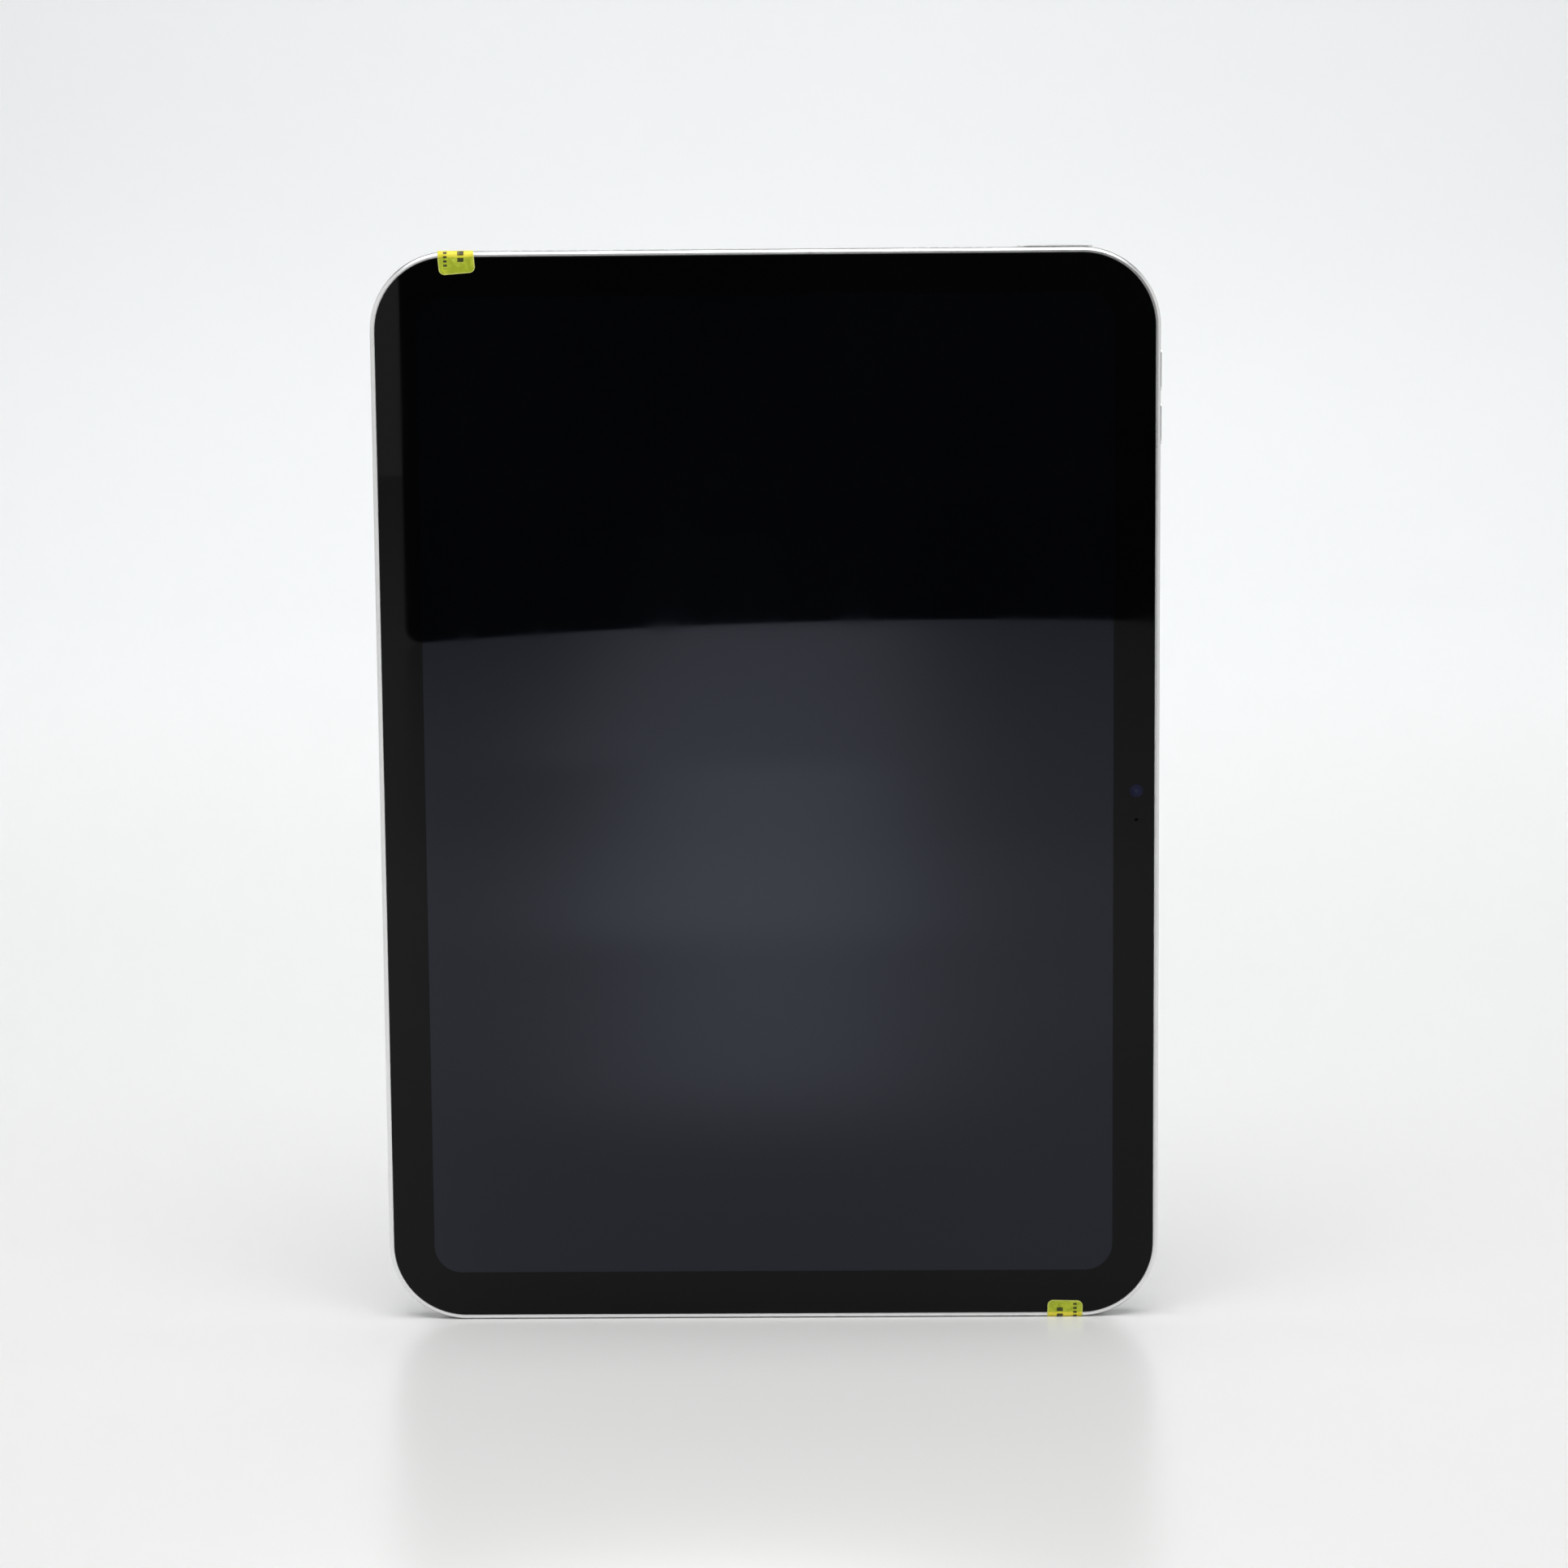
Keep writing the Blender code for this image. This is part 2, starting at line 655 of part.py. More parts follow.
def button(name, length, width, place, facing, outward, looks, parts, cutters):
    """A button: a cap that stands proud of the wall, and a flange that keeps it in.

    place is the middle of the wall's outer face, and outward is the direction out of it.
    """
    cap_t = WALL + PROUD + FLANGE_BELOW + FLANGE_T / 2
    cap_at = [p + o * (PROUD - cap_t / 2) for p, o in zip(place, outward)]
    flange_at = [p - o * (WALL + FLANGE_BELOW + FLANGE_T / 2) for p, o in zip(place, outward)]
    size = (length, width) if facing == "top" else (width, length)
    cap = plate(name, [stadium(*size)], cap_t, cap_at, facing, looks.aluminium, parts)
    bevel(cap, CAP_EDGE, 2)
    grown = stadium(size[0] + FLANGE_GROW, size[1] + FLANGE_GROW)
    boolean(cap, through(f"{name}_flange", grown, FLANGE_T, flange_at, facing, cutters), "UNION")
    return cap


def top_button(looks, parts, cutters):
    place = (TOP_BUTTON_X, 0, TOP_Z)
    up = (0, 0, 1)
    cap = button(
        "top_button", TOP_BUTTON_L, TOP_BUTTON_W, place, "top", up, looks, parts, cutters
    )
    floor = TOP_Z + PROUD - SENSOR_T - 2 * SENSOR_GAP
    pocket = stadium(SENSOR_L + 2 * SENSOR_GAP, SENSOR_W + 2 * SENSOR_GAP)
    depth = SENSOR_T + OVERCUT
    at = (TOP_BUTTON_X, 0, floor + depth / 2)
    boolean(cap, through("sensor_pocket", pocket, depth, at, "top", cutters))
    at = (TOP_BUTTON_X, 0, floor + SENSOR_GAP + SENSOR_T / 2)
    plate(
        "fingerprint_sensor", [stadium(SENSOR_L, SENSOR_W)], SENSOR_T, at, "top", looks.sapphire, parts
    )
    switch_top = CAVITY_TOP - FLANGE_BELOW - FLANGE_T - TRAVEL - TOP_SWITCH_GAP
    at = (TOP_BUTTON_X, 0, switch_top - SWITCH_T / 2)
    switch("top_button_switch", TOP_SWITCH, at, "top", looks, parts)
    at = (TOP_BUTTON_X, 0, switch_top - SWITCH_T - BRACKET_GAP - TOP_BRACKET_T / 2)
    holes = [
        circle(BRACKET_HOLE_R, (side * TOP_BRACKET_HOLE_X, 0), COARSE_STEPS) for side in (-1, 1)
    ]
    outline = round_rect(*TOP_BRACKET, BRACKET_R, 3)
    plate("top_button_bracket", [outline, *holes], TOP_BRACKET_T, at, "top", looks.steel, parts)


def switch(name, size, place, facing, looks, parts):
    made = plate(
        name, [round_rect(*size, SWITCH_R, 3)], SWITCH_T, place, facing, looks.plastic, parts
    )
    return bevel(made, SWITCH_EDGE, 2)


def volume_buttons(looks, parts, cutters):
    flange_x = CAVITY_X - FLANGE_BELOW - FLANGE_T
    switch_x = flange_x - TRAVEL - VOLUME_SWITCH_GAP - SWITCH_T / 2
    for which, z in VOLUME_Z.items():
        button(
            f"volume_{which}_button",
            VOLUME_L,
            VOLUME_W,
            (SIDE_X, 0, z),
            "side",
            (1, 0, 0),
            looks,
            parts,
            cutters,
        )
        at = (switch_x, 0, z)
        switch(f"volume_{which}_switch", VOLUME_SWITCH, at, "side", looks, parts)
    bracket_x = switch_x - SWITCH_T / 2 - BRACKET_GAP - VOLUME_BRACKET_T / 2
    at = (bracket_x, 0, sum(VOLUME_Z.values()) / 2)
    outline = round_rect(*VOLUME_BRACKET, BRACKET_R, 3)
    hole = circle(BRACKET_HOLE_R, steps=COARSE_STEPS)
    plate("volume_bracket", [outline, hole], VOLUME_BRACKET_T, at, "side", looks.steel, parts)


def camera_ring_profile():
    bore = CAMERA_COVER_R + CAMERA_GAP
    profile = [(bore, CAMERA_PROUD)]
    for step in range(4):
        angle = math.radians(90 - 30 * step)
        radius = CAMERA_RING_R - RING_EDGE_R + RING_EDGE_R * math.cos(angle)
        profile.append((radius, CAMERA_PROUD - RING_EDGE_R + RING_EDGE_R * math.sin(angle)))
    return profile + [
        (CAMERA_RING_R, SEAM),
        (CAMERA_BORE_R, SEAM),
        (CAMERA_BORE_R, -RING_COLLAR),
        (bore - RING_LIP, -RING_COLLAR),
        (bore - RING_LIP, RING_SEAT),
        (bore, RING_SEAT),
        (bore, CAMERA_PROUD),
    ]


def rear_camera(looks, parts, cutters):
    place = (CAMERA_X, BACK_Y, CAMERA_Z)
    ring = camera_ring_profile()
    turned("rear_camera_ring", ring, place, "back", looks.aluminium, parts, TURNED_STEPS)
    low = RING_SEAT + SEAM
    high = CAMERA_PROUD - COVER_BELOW_RING
    cover = (
        (0, high),
        (CAMERA_COVER_R - CAMERA_GAP, high),
        (CAMERA_COVER_R, high - CAMERA_GAP),
        (CAMERA_COVER_R, low),
        (0, low),
    )
    turned("rear_camera_cover", cover, place, "back", looks.lens, parts, TURNED_STEPS)
    half = CAMERA_MODULE / 2
    low = (CAMERA_X - half, CAMERA_MODULE_Y[0], CAMERA_Z - half)
    high = (CAMERA_X + half, CAMERA_MODULE_Y[1], CAMERA_Z + half)
    module = box("rear_camera_module", low, high, looks.plastic, parts, CAMERA_MODULE_R)
    well = circle(BARREL_R + CAMERA_GAP)
    at = (CAMERA_X, sum(BARREL_WELL_Y) / 2, CAMERA_Z)
    depth = BARREL_WELL_Y[1] - BARREL_WELL_Y[0]
    boolean(module, through("barrel_well", well, depth, at, "front", cutters))
    turned("rear_camera_barrel", BARREL_PROFILE, place, "back", looks.lens, parts)


def front_camera(looks, parts):
    half = FRONT_CAMERA_HALF
    low = (FRONT_CAMERA_X - half, FRONT_CAMERA_Y[0], rel(-half))
    high = (FRONT_CAMERA_X + half, FRONT_CAMERA_Y[1], rel(half))
    box("front_camera_module", low, high, looks.plastic, parts, FRONT_CAMERA_R)
    place = (FRONT_CAMERA_X, FRONT_CAMERA_Y[0] - SEAM, MIDDLE_Z)
    turned("front_camera_lens", FRONT_LENS_PROFILE, place, "front", looks.lens, parts)
    half = LIGHT_SENSOR_HALF
    z = rel(LIGHT_SENSOR_DZ)
    low = (FRONT_CAMERA_X - half, LIGHT_SENSOR_Y[0], z - half)
    high = (FRONT_CAMERA_X + half, LIGHT_SENSOR_Y[1], z + half)
    box("ambient_light_sensor", low, high, looks.plastic, parts, LIGHT_SENSOR_R)


def microphones(looks, parts):
    low = (REAR_MIC_X - MIC_LONG, REAR_MIC_Y[0], CAMERA_Z - MIC_SHORT)
    high = (REAR_MIC_X + MIC_LONG, REAR_MIC_Y[1], CAMERA_Z + MIC_SHORT)
    box("rear_microphone", low, high, looks.shield, parts, REAR_MIC_R)
    low = (SIDE_MIC_X[0], -MIC_SHORT, rel(SIDE_MIC_DZ) - MIC_LONG)
    high = (SIDE_MIC_X[1], MIC_SHORT, rel(SIDE_MIC_DZ) + MIC_LONG)
    box("side_microphone", low, high, looks.shield, parts)


def speakers(looks, parts):
    """A sealed box in each corner, and a dust mesh between it and its row of holes."""
    corners = (
        ("top_left", -1, CAVITY_TOP, -1, HOLES_FULL_ROW),
        ("top_right", 1, CAVITY_TOP, -1, HOLES_BY_BUTTON),
        ("bottom_left", -1, WALL, 1, HOLES_FULL_ROW),
        ("bottom_right", 1, WALL, 1, HOLES_FULL_ROW),
    )
    for corner, side, wall_z, inwards, count in corners:
        xs = hole_centres(side, count)
        near, far = sorted((abs(xs[0]), abs(xs[-1])))
        middle_x = side * (near + far) / 2
        length = far - near + 2 * MESH_MARGIN
        mesh_at = (middle_x, 0, wall_z + inwards * MESH_DEPTH)
        strip = [round_rect(length, MESH_W, MESH_R, 2)]
        plate(f"speaker_mesh_{corner}", strip, MESH_T, mesh_at, "top", looks.plastic, parts)
        near_z = wall_z + inwards * SPEAKER_GAP
        low_z, high_z = sorted((near_z, near_z + inwards * SPEAKER_H))
        half = length / 2 + SPEAKER_GROW
        low = (middle_x - half, SPEAKER_Y[0], low_z)
        high = (middle_x + half, SPEAKER_Y[1], high_z)
        body = box(f"speaker_{corner}", low, high, looks.plastic, parts, SPEAKER_CORNER_R)
        bevel(body, SPEAKER_EDGE, 1)


def batteries(looks, parts):
    cell_top = CELL_DZ + CELL_H / 2
    for side, name in ((-1, "left"), (1, "right")):
        middle = side * CELL_X
        low = (middle - CELL_W / 2, CELL_Y[0], rel(CELL_DZ - CELL_H / 2))
        high = (middle + CELL_W / 2, CELL_Y[1], rel(cell_top))
        cell = box(f"battery_cell_{name}", low, high, looks.pouch, parts, CELL_R)
        bevel(cell, CELL_EDGE, 2)
    board_low = cell_top + CELL_BOARD_GAP
    low = (-CELL_BOARD_W / 2, CELL_BOARD_Y[0], rel(board_low))
    high = (CELL_BOARD_W / 2, CELL_BOARD_Y[1], rel(board_low + CELL_BOARD_H))
    box("battery_board", low, high, looks.board, parts, CELL_BOARD_R)
    low = (-CELL_FLEX_W / 2, CELL_FLEX_Y[0], rel(BOARD_TOP_DZ - CELL_FLEX_LAP))
    high = (CELL_FLEX_W / 2, CELL_FLEX_Y[1], rel(board_low + CELL_BOARD_H - CELL_FLEX_SHORT))
    box("battery_flex", low, high, looks.flex, parts, FLEX_R)


def logic_board(looks, parts):
    low = (-BOARD_W / 2, BOARD_Y[0], rel(BOARD_BOTTOM_DZ))
    high = (BOARD_W / 2, BOARD_Y[1], rel(BOARD_TOP_DZ))
    box("logic_board", low, high, looks.board, parts, BOARD_R)
    for name, width, height, dz in CANS:
        shield_can(name, width * MM, height * MM, dz * MM, looks, parts)


def shield_can(name, width, height, dz, looks, parts):
    """A drawn steel lid, open towards the board."""
    depth = BOARD_Y[0] - CAN_GAP - CAN_FRONT_Y
    edit = bmesh.new()
    bmesh.ops.create_cube(edit, size=1.0)
    bmesh.ops.scale(edit, verts=edit.verts, vec=(width, depth, height))
    open_side = [face for face in edit.faces if face.normal.y > 0.5]
    bmesh.ops.delete(edit, geom=open_side, context="FACES_ONLY")
    mesh = bpy.data.meshes.new(name)
    edit.to_mesh(mesh)
    edit.free()
    can = bpy.data.objects.new(name, mesh)
    bpy.context.scene.collection.objects.link(can)
    can.location = (0, CAN_FRONT_Y + depth / 2, rel(dz))
    bevel(can, CAN_EDGE, 2)
    wall = can.modifiers.new("wall", "SOLIDIFY")
    wall.thickness = CAN_WALL
    wall.offset = -1
    wall.use_even_offset = True
    return finish(can, name, looks.shield, parts)


def charging_port(looks, parts, cutters):
    outer = stadium(PORT_W, PORT_T)
    inner = stadium(PORT_W - 2 * PORT_WALL, PORT_T - 2 * PORT_WALL)
    at = (0, 0, PORT_INSET + PORT_DEPTH / 2)
    plate("usb_c_shell", [outer, inner], PORT_DEPTH, at, "top", looks.steel, parts)
    shrink = 2 * PORT_WALL + 2 * TONGUE_GAP
    base = stadium(PORT_W - shrink, PORT_T - shrink)
    top = PORT_INSET + PORT_DEPTH
    at = (0, 0, top - TONGUE_BASE_T / 2)
    tongue = plate("usb_c_tongue", [base], TONGUE_BASE_T, at, "top", looks.plastic, parts)
    low = PORT_INSET + BLADE_INSET
    high = top - TONGUE_BASE_T / 2
    at = (0, 0, (low + high) / 2)
    blade = through("usb_c_blade", round_rect(*BLADE, 3), high - low, at, "top", cutters)
    boolean(tongue, blade, "UNION")
    low = (-PORT_BOARD_W / 2, PORT_BOARD_Y[0], WALL + PORT_BOARD_GAP)
    high = (PORT_BOARD_W / 2, PORT_BOARD_Y[1], rel(BOARD_BOTTOM_DZ - BOARD_SPLIT))
    box("usb_c_board", low, high, looks.board, parts, PORT_BOARD_R)


def accessory_connector(looks, parts, cutters):
    face_x = ACCESSORY_INSET - SIDE_X
    at = (face_x + ACCESSORY_T / 2, 0, MIDDLE_Z)
    outline = [stadium(ACCESSORY_W, ACCESSORY_L)]
    insulator = plate(
        "accessory_insulator", outline, ACCESSORY_T, at, "side", looks.grey_plastic, parts
    )
    for number in (1, 2, 3):
        z = rel((2 - number) * ACCESSORY_PITCH)
        well = circle(CONTACT_R + CONTACT_GAP, steps=16)
        name = f"contact_well_{number}"
        boolean(insulator, through(name, well, CONTACT_WELL, (face_x, 0, z), "side", cutters))
        contact = plate(
            f"accessory_contact_{number}",
            [circle(CONTACT_R, steps=16)],
            CONTACT_T,
            (face_x + CONTACT_DEPTH, 0, z),
            "side",
            looks.gold,
            parts,
        )
        bevel(contact, CONTACT_EDGE, 1)


def ribbon_outline(path, thickness):
    """The outline of a bent strip seen from its edge, drawn either side of the path's points."""
    left, right = [], []
    for i, (x, y) in enumerate(path):
        before = path[max(i - 1, 0)]
        after = path[min(i + 1, len(path) - 1)]
        dx, dy = after[0] - before[0], after[1] - before[1]
        long = math.hypot(dx, dy)
        normal = (-dy / long * thickness / 2, dx / long * thickness / 2)
        left.append((x + normal[0], y + normal[1]))
        right.append((x - normal[0], y - normal[1]))
    return left + right[::-1]


def ribbon(name, path, thickness, width, middle_x, look, parts):
    """A strip that is bent in the YZ plane and straight along X."""
    outline = ribbon_outline(path, thickness)
    return plate(name, [outline], width, (middle_x, 0, 0), "side", look, parts)


def flexes(looks, parts):
    behind = BACKLIGHT_Y[1] + FLEX_BEHIND
    high, middle, low = (rel(dz) for dz in FLEX_DROP_DZ)
    for name, x, width, end_dz in DISPLAY_FLEXES:
        path = ((behind, high), (behind, middle), (FLEX_LOW_Y, low), (FLEX_LOW_Y, rel(end_dz)))
        ribbon(name, path, FLEX_T, width, x, looks.flex, parts)
    low = (CAMERA_FLEX_X[0], behind - FLEX_T / 2, rel(CAMERA_FLEX_DZ[0]))
    high = (CAMERA_FLEX_X[1], behind + FLEX_T / 2, rel(CAMERA_FLEX_DZ[1]))
    box("front_camera_flex", low, high, looks.flex, parts, FLEX_R)


def edge_strips(looks, parts):
    """Antennas and cover magnets, in the slim space between the battery and the side walls."""
    for strips, look in ((ANTENNAS, looks.flex), (MAGNETS, looks.magnet)):
        for name, side, dz, length, front, back in strips:
            x = side * (CAVITY_X - STRIP_IN)
            low = (x - STRIP_W / 2, front * MM, rel((dz - length / 2) * MM))
            high = (x + STRIP_W / 2, back * MM, rel((dz + length / 2) * MM))
            box(name, low, high, look, parts, STRIP_R)


def seal_path(on_glass, on_edge):
    """From the glass, round the front edge and onto the edge wall, as seen from the side.

    The second number counts outwards from the edge wall's outer face.
    """
    out = SEAL_LIFT + SEAL_T / 2
    radius = EDGE_R + out
    path = [(FRONT_Y - out, -on_glass)]
    for step in range(7):
        angle = math.radians(180 - 15 * step)
        path.append(
            (FRONT_Y + EDGE_R + radius * math.cos(angle), -EDGE_R + radius * math.sin(angle))
        )
    path.append((FRONT_Y + on_edge, out))
    return path


def tamper_seals(looks, parts):
    for end, x in SEAL_X.items():
        path = seal_path(SEAL_ON_GLASS[end], SEAL_ON_EDGE[end])
        if end == "top":
            path = [(y, TOP_Z + out) for y, out in path]
        else:
            path = [(y, -out) for y, out in path]
        ribbon(f"tamper_seal_{end}", path, SEAL_T, SEAL_W, x, looks.seal, parts)


def main():
    clear_scene()
    parts = new_collection("tablet_computer")
    cutters = new_collection("cutters")
    looks = Looks()
    rear_housing(looks, parts, cutters)
    display(looks, parts, cutters)
    top_button(looks, parts, cutters)
    volume_buttons(looks, parts, cutters)
    rear_camera(looks, parts, cutters)
    front_camera(looks, parts)
    microphones(looks, parts)
    speakers(looks, parts)
    batteries(looks, parts)
    logic_board(looks, parts)
    charging_port(looks, parts, cutters)
    accessory_connector(looks, parts, cutters)
    flexes(looks, parts)
    edge_strips(looks, parts)
    tamper_seals(looks, parts)


main()
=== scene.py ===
"""Looks of the tablet computer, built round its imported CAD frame.

X runs to the right of someone who faces the screen, -Y comes out of the screen, +Z is up.
The origin is the middle of the bottom edge, halfway through the thickness. Metres throughout.
"""

import math

import bmesh
import bpy
from mathutils import Matrix, Vector

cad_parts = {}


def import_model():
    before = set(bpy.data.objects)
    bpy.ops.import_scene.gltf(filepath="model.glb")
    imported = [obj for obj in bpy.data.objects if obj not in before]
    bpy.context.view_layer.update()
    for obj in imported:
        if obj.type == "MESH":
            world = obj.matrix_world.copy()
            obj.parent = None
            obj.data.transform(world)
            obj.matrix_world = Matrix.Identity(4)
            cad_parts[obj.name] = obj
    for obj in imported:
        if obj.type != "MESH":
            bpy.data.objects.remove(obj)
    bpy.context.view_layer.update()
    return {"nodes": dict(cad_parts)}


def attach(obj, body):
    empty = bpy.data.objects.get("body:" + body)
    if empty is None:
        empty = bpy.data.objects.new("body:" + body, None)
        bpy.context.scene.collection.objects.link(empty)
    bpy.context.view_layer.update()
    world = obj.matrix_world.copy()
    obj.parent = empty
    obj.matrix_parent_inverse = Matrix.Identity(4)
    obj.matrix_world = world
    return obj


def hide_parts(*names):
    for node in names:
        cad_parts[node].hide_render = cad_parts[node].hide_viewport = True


MM = 0.001

# Body outline and walls, as in the CAD.
WIDTH = 179.5 * MM
HEIGHT = 248.6 * MM
THICKNESS = 7.0 * MM
CORNER_R = 18.0 * MM
EDGE_R = 1.0 * MM
MIDDLE_Z = HEIGHT / 2
FRONT_Y = -THICKNESS / 2
BACK_Y = THICKNESS / 2
SIDE_X = WIDTH / 2
RIM = 1.1 * MM
WALL = 2.4 * MM
LEDGE_Y = -2.5 * MM
FLOOR_Y = 2.6 * MM
OUTLINE_STEPS = 40

# Small knocks in the edge's finish: place and radius.
KNOCKS = (
    ((-79.8 * MM, -3.3 * MM, 1.9 * MM), 0.42 * MM),
    ((-85.4 * MM, -3.2 * MM, 242.6 * MM), 0.26 * MM),
)

# Bosses that take the four inner screws.
BOSS_X = 84.3 * MM
BOSS_DZ = 106.5 * MM
BOSS_Y = 1.0 * MM
BOSS_LENGTH = 3.5 * MM
BOSS_R = 1.9 * MM
BOSS_HOLE_R = 0.7 * MM

# Front glass and what shows through it.
GLASS_INSET = 1.2 * MM
GLASS_BACK_Y = -2.85 * MM
GLASS_EDGE = 0.16 * MM
DISPLAY_W = 158.3 * MM
DISPLAY_H = 226.9 * MM
DISPLAY_R = 6.4 * MM
DISPLAY_Z = MIDDLE_Z + 0.5 * MM
CAMERA_WINDOW_X = SIDE_X - 5.3 * MM
CAMERA_WINDOW_R = 1.65 * MM
SENSOR_WINDOW_Z = MIDDLE_Z - 6.7 * MM
SENSOR_WINDOW = (0.95 * MM, 0.65 * MM)
SENSOR_WINDOW_TILT = 20
WINDOW_CLEAR = (2 * MM, 9 * MM)
SMEAR_Z = ((190 * MM, 196 * MM), (197 * MM, 204 * MM))

# Speaker holes. Each row is the side of the middle, the number of holes, and the top or bottom end.
HOLE_R = 0.55 * MM
HOLE_CHAMFER = 0.1 * MM
HOLE_FLARE_OUT = 0.5 * MM
HOLE_STEPS = 24
HOLE_PITCH = 2.57 * MM
HOLE_FIRST = 32.1 * MM
HOLE_ROWS = ((-1, 12, 1), (1, 9, 1), (-1, 12, -1), (1, 12, -1))

# Buttons.
PROUD = 0.3 * MM
SLOT_GAP = 0.2 * MM
FLANGE_GROW = 0.8 * MM
FLANGE_BELOW = 0.3 * MM
FLANGE_T = 0.7 * MM
BUTTON_SOFT = 0.25 * MM
TOP_BUTTON_X = 65.8 * MM
TOP_BUTTON = (16.9 * MM, 3.0 * MM)
SENSOR = (13.5 * MM, 1.9 * MM)
SENSOR_T = 0.6 * MM
SENSOR_GAP = 0.1 * MM
SENSOR_SINK = 0.05 * MM
SENSOR_SOFT = 0.06 * MM
POCKET_CUT = 1.6 * MM
VOLUME_Z = {"up": HEIGHT - 28.0 * MM, "down": HEIGHT - 40.2 * MM}
VOLUME = (9.6 * MM, 2.3 * MM)

# Rear camera.
CAMERA_X = SIDE_X - 13.2 * MM
CAMERA_Z = HEIGHT - 13.2 * MM
RING_R = 5.9 * MM
RING_BORE_R = 5.3 * MM
COVER_R = 4.2 * MM
CAMERA_PROUD = 1.0 * MM
RING_SOFT = 0.3 * MM
RING_LIP = 0.12 * MM
RING_BASE = 0.05 * MM
RING_FOOT = -0.8 * MM
SHELF_IN = 0.7 * MM
SHELF_TOP = 0.15 * MM
COVER_GAP = 0.1 * MM
COVER_SINK = 0.12 * MM
COVER_SOFT = 0.1 * MM
COVER_BACK = 0.2 * MM
BARREL_R = 2.75 * MM
BARREL_BACK = -3.0 * MM
GROOVE_TOP = -0.6 * MM
GROOVE_PITCH = 0.5 * MM
GROOVE_DEPTH = 0.06 * MM
GROOVES = 5

# Microphone holes.
MIC_HOLE_R = 0.5 * MM
REAR_MIC_X = CAMERA_X - 10 * MM
SIDE_MIC_Z = MIDDLE_Z + 14 * MM

# Charging port and accessory connector.
PORT = (8.94 * MM, 3.2 * MM)
PORT_WALL = 0.3 * MM
PORT_DEPTH = 7.3 * MM
PORT_INSET = 0.2 * MM
PORT_SOFT = 0.08 * MM
TONGUE_GAP = 0.1 * MM
TONGUE_BASE = 1.8 * MM
BLADE = (6.7 * MM, 0.7 * MM)
BLADE_R = 0.3 * MM
BLADE_INSET = 1.2 * MM
BLADE_SOFT = 0.12 * MM
STRIPS = 12
STRIP = (0.26 * MM, 0.06 * MM)
STRIP_R = 0.02 * MM
STRIP_PITCH = 0.5 * MM
STRIP_OUT = 0.36 * MM
STRIP_UP = 2.4 * MM
STRIP_LENGTH = 3.6 * MM
ACCESSORY = (3.0 * MM, 8.8 * MM)
ACCESSORY_PITCH = 2.6 * MM
ACCESSORY_SINK = 0.1 * MM
ACCESSORY_SOFT = 0.1 * MM
CONTACT_R = 0.9 * MM
CONTACT_SINK = 0.4 * MM
CONTACT_DOME = (
    (0, 0.32 * MM),
    (0.35 * MM, 0.31 * MM),
    (0.6 * MM, 0.27 * MM),
    (0.78 * MM, 0.18 * MM),
    (0.87 * MM, 0.08 * MM),
    (CONTACT_R, 0),
    (CONTACT_R, -0.3 * MM),
    (0, -0.3 * MM),
)
WELL_GAP = 0.05 * MM
WELL_CUT = 1.6 * MM

# Tamper seals. Each is its node, its length on the glass and on the edge, its middle in x,
# the top or bottom end, and its tilt in degrees.
SEAL_T = 0.09 * MM
SEAL_LIFT = 0.03 * MM
SEAL_W = 8.2 * MM
SEAL_R = 1.3 * MM
SEAL_BAND = 0.2 * MM
SEAL_ROUND_STEPS = 9
SEAL_ROWS = 44
SEAL_COLUMNS = 26
SEALS = (
    ("tamper_seal_top", 5.0 * MM, 3.4 * MM, -69.9 * MM, 1, 4.5),
    ("tamper_seal_bottom", 4.0 * MM, 3.6 * MM, 68.1 * MM, -1, 1.3),
)

# Columns of printed bars on a seal: middle, half width, start, pitch, printed share, length.
SEAL_PRINT = (
    (-2.35 * MM, 0.42 * MM, 0.0, 0.95 * MM, 0.55, 3.9 * MM),
    (1.15 * MM, 0.72 * MM, 0.1 * MM, 1.5 * MM, 0.62, 2.4 * MM),
)

# Studio: the sweep of floor and wall, the glowing pale walls round it (painted light: they emit, no lamp
# lights them), and the dark card.
SWEEP_HALF = 3.0
SWEEP_FRONT = -2.6
SWEEP_BEND_Y = 1.5
SWEEP_BEND_R = 0.9
SWEEP_BACK = SWEEP_BEND_Y + SWEEP_BEND_R
SWEEP_TOP = 2.2
WALL_X = 2.9
WALL_Y = -2.55
WALL_TOP = 2.6
FRONT_WALL_GLOW = 0.82
SIDE_WALL_GLOW = 0.95
CARD_LEFT = -0.221
CARD_RIGHT = 1.4
CARD_TOP = 1.5
CARD_CORNER = 0.009
CARD_Y = -1.482
CARD_MIDDLE_X = 0.075
CARD_CURVE = 1.17
CARD_CURVE_MOST = 0.12
CARD_STEP = 0.02
CARD_STEPS = 40

# Lamps: name, place, aim, size, watts, spread in degrees, tone, and whether gloss sees it.
WHITE = (1.0, 1.0, 1.0)
WORLD_TONE = (0.90, 0.905, 0.92, 1)
WORLD_STRENGTH = 0.16
LAMPS = (
    ("overhead", (0.0, -0.52, 1.6), (0.0, -0.4, 0.0), (2.0, 1.6), 36.0, 180, WHITE, True),
    ("backdrop", (0.0, 0.9, 1.9), (0.0, 1.8, 0.15), (2.6, 0.8), 17.0, 110, (0.94, 0.97, 1.0), True),
    ("floor_band", (0.0, -0.5, 0.12), (0.0, -0.5, 0.0), (1.2, 0.36), 0.17, 90, WHITE, False),
)

# Strips of floor that low lamps brighten, seen in the screen: x, y, width, length, watts.
GLOW = (
    (-0.006, -0.215, 0.075, 0.05, 0.007),
    (-0.010, -0.365, 0.085, 0.26, 0.095),
    (-0.018, -0.705, 0.115, 0.42, 0.29),
    (-0.029, -1.195, 0.160, 0.56, 0.36),
)
GLOW_UP = 0.05
GLOW_SPREAD = 150

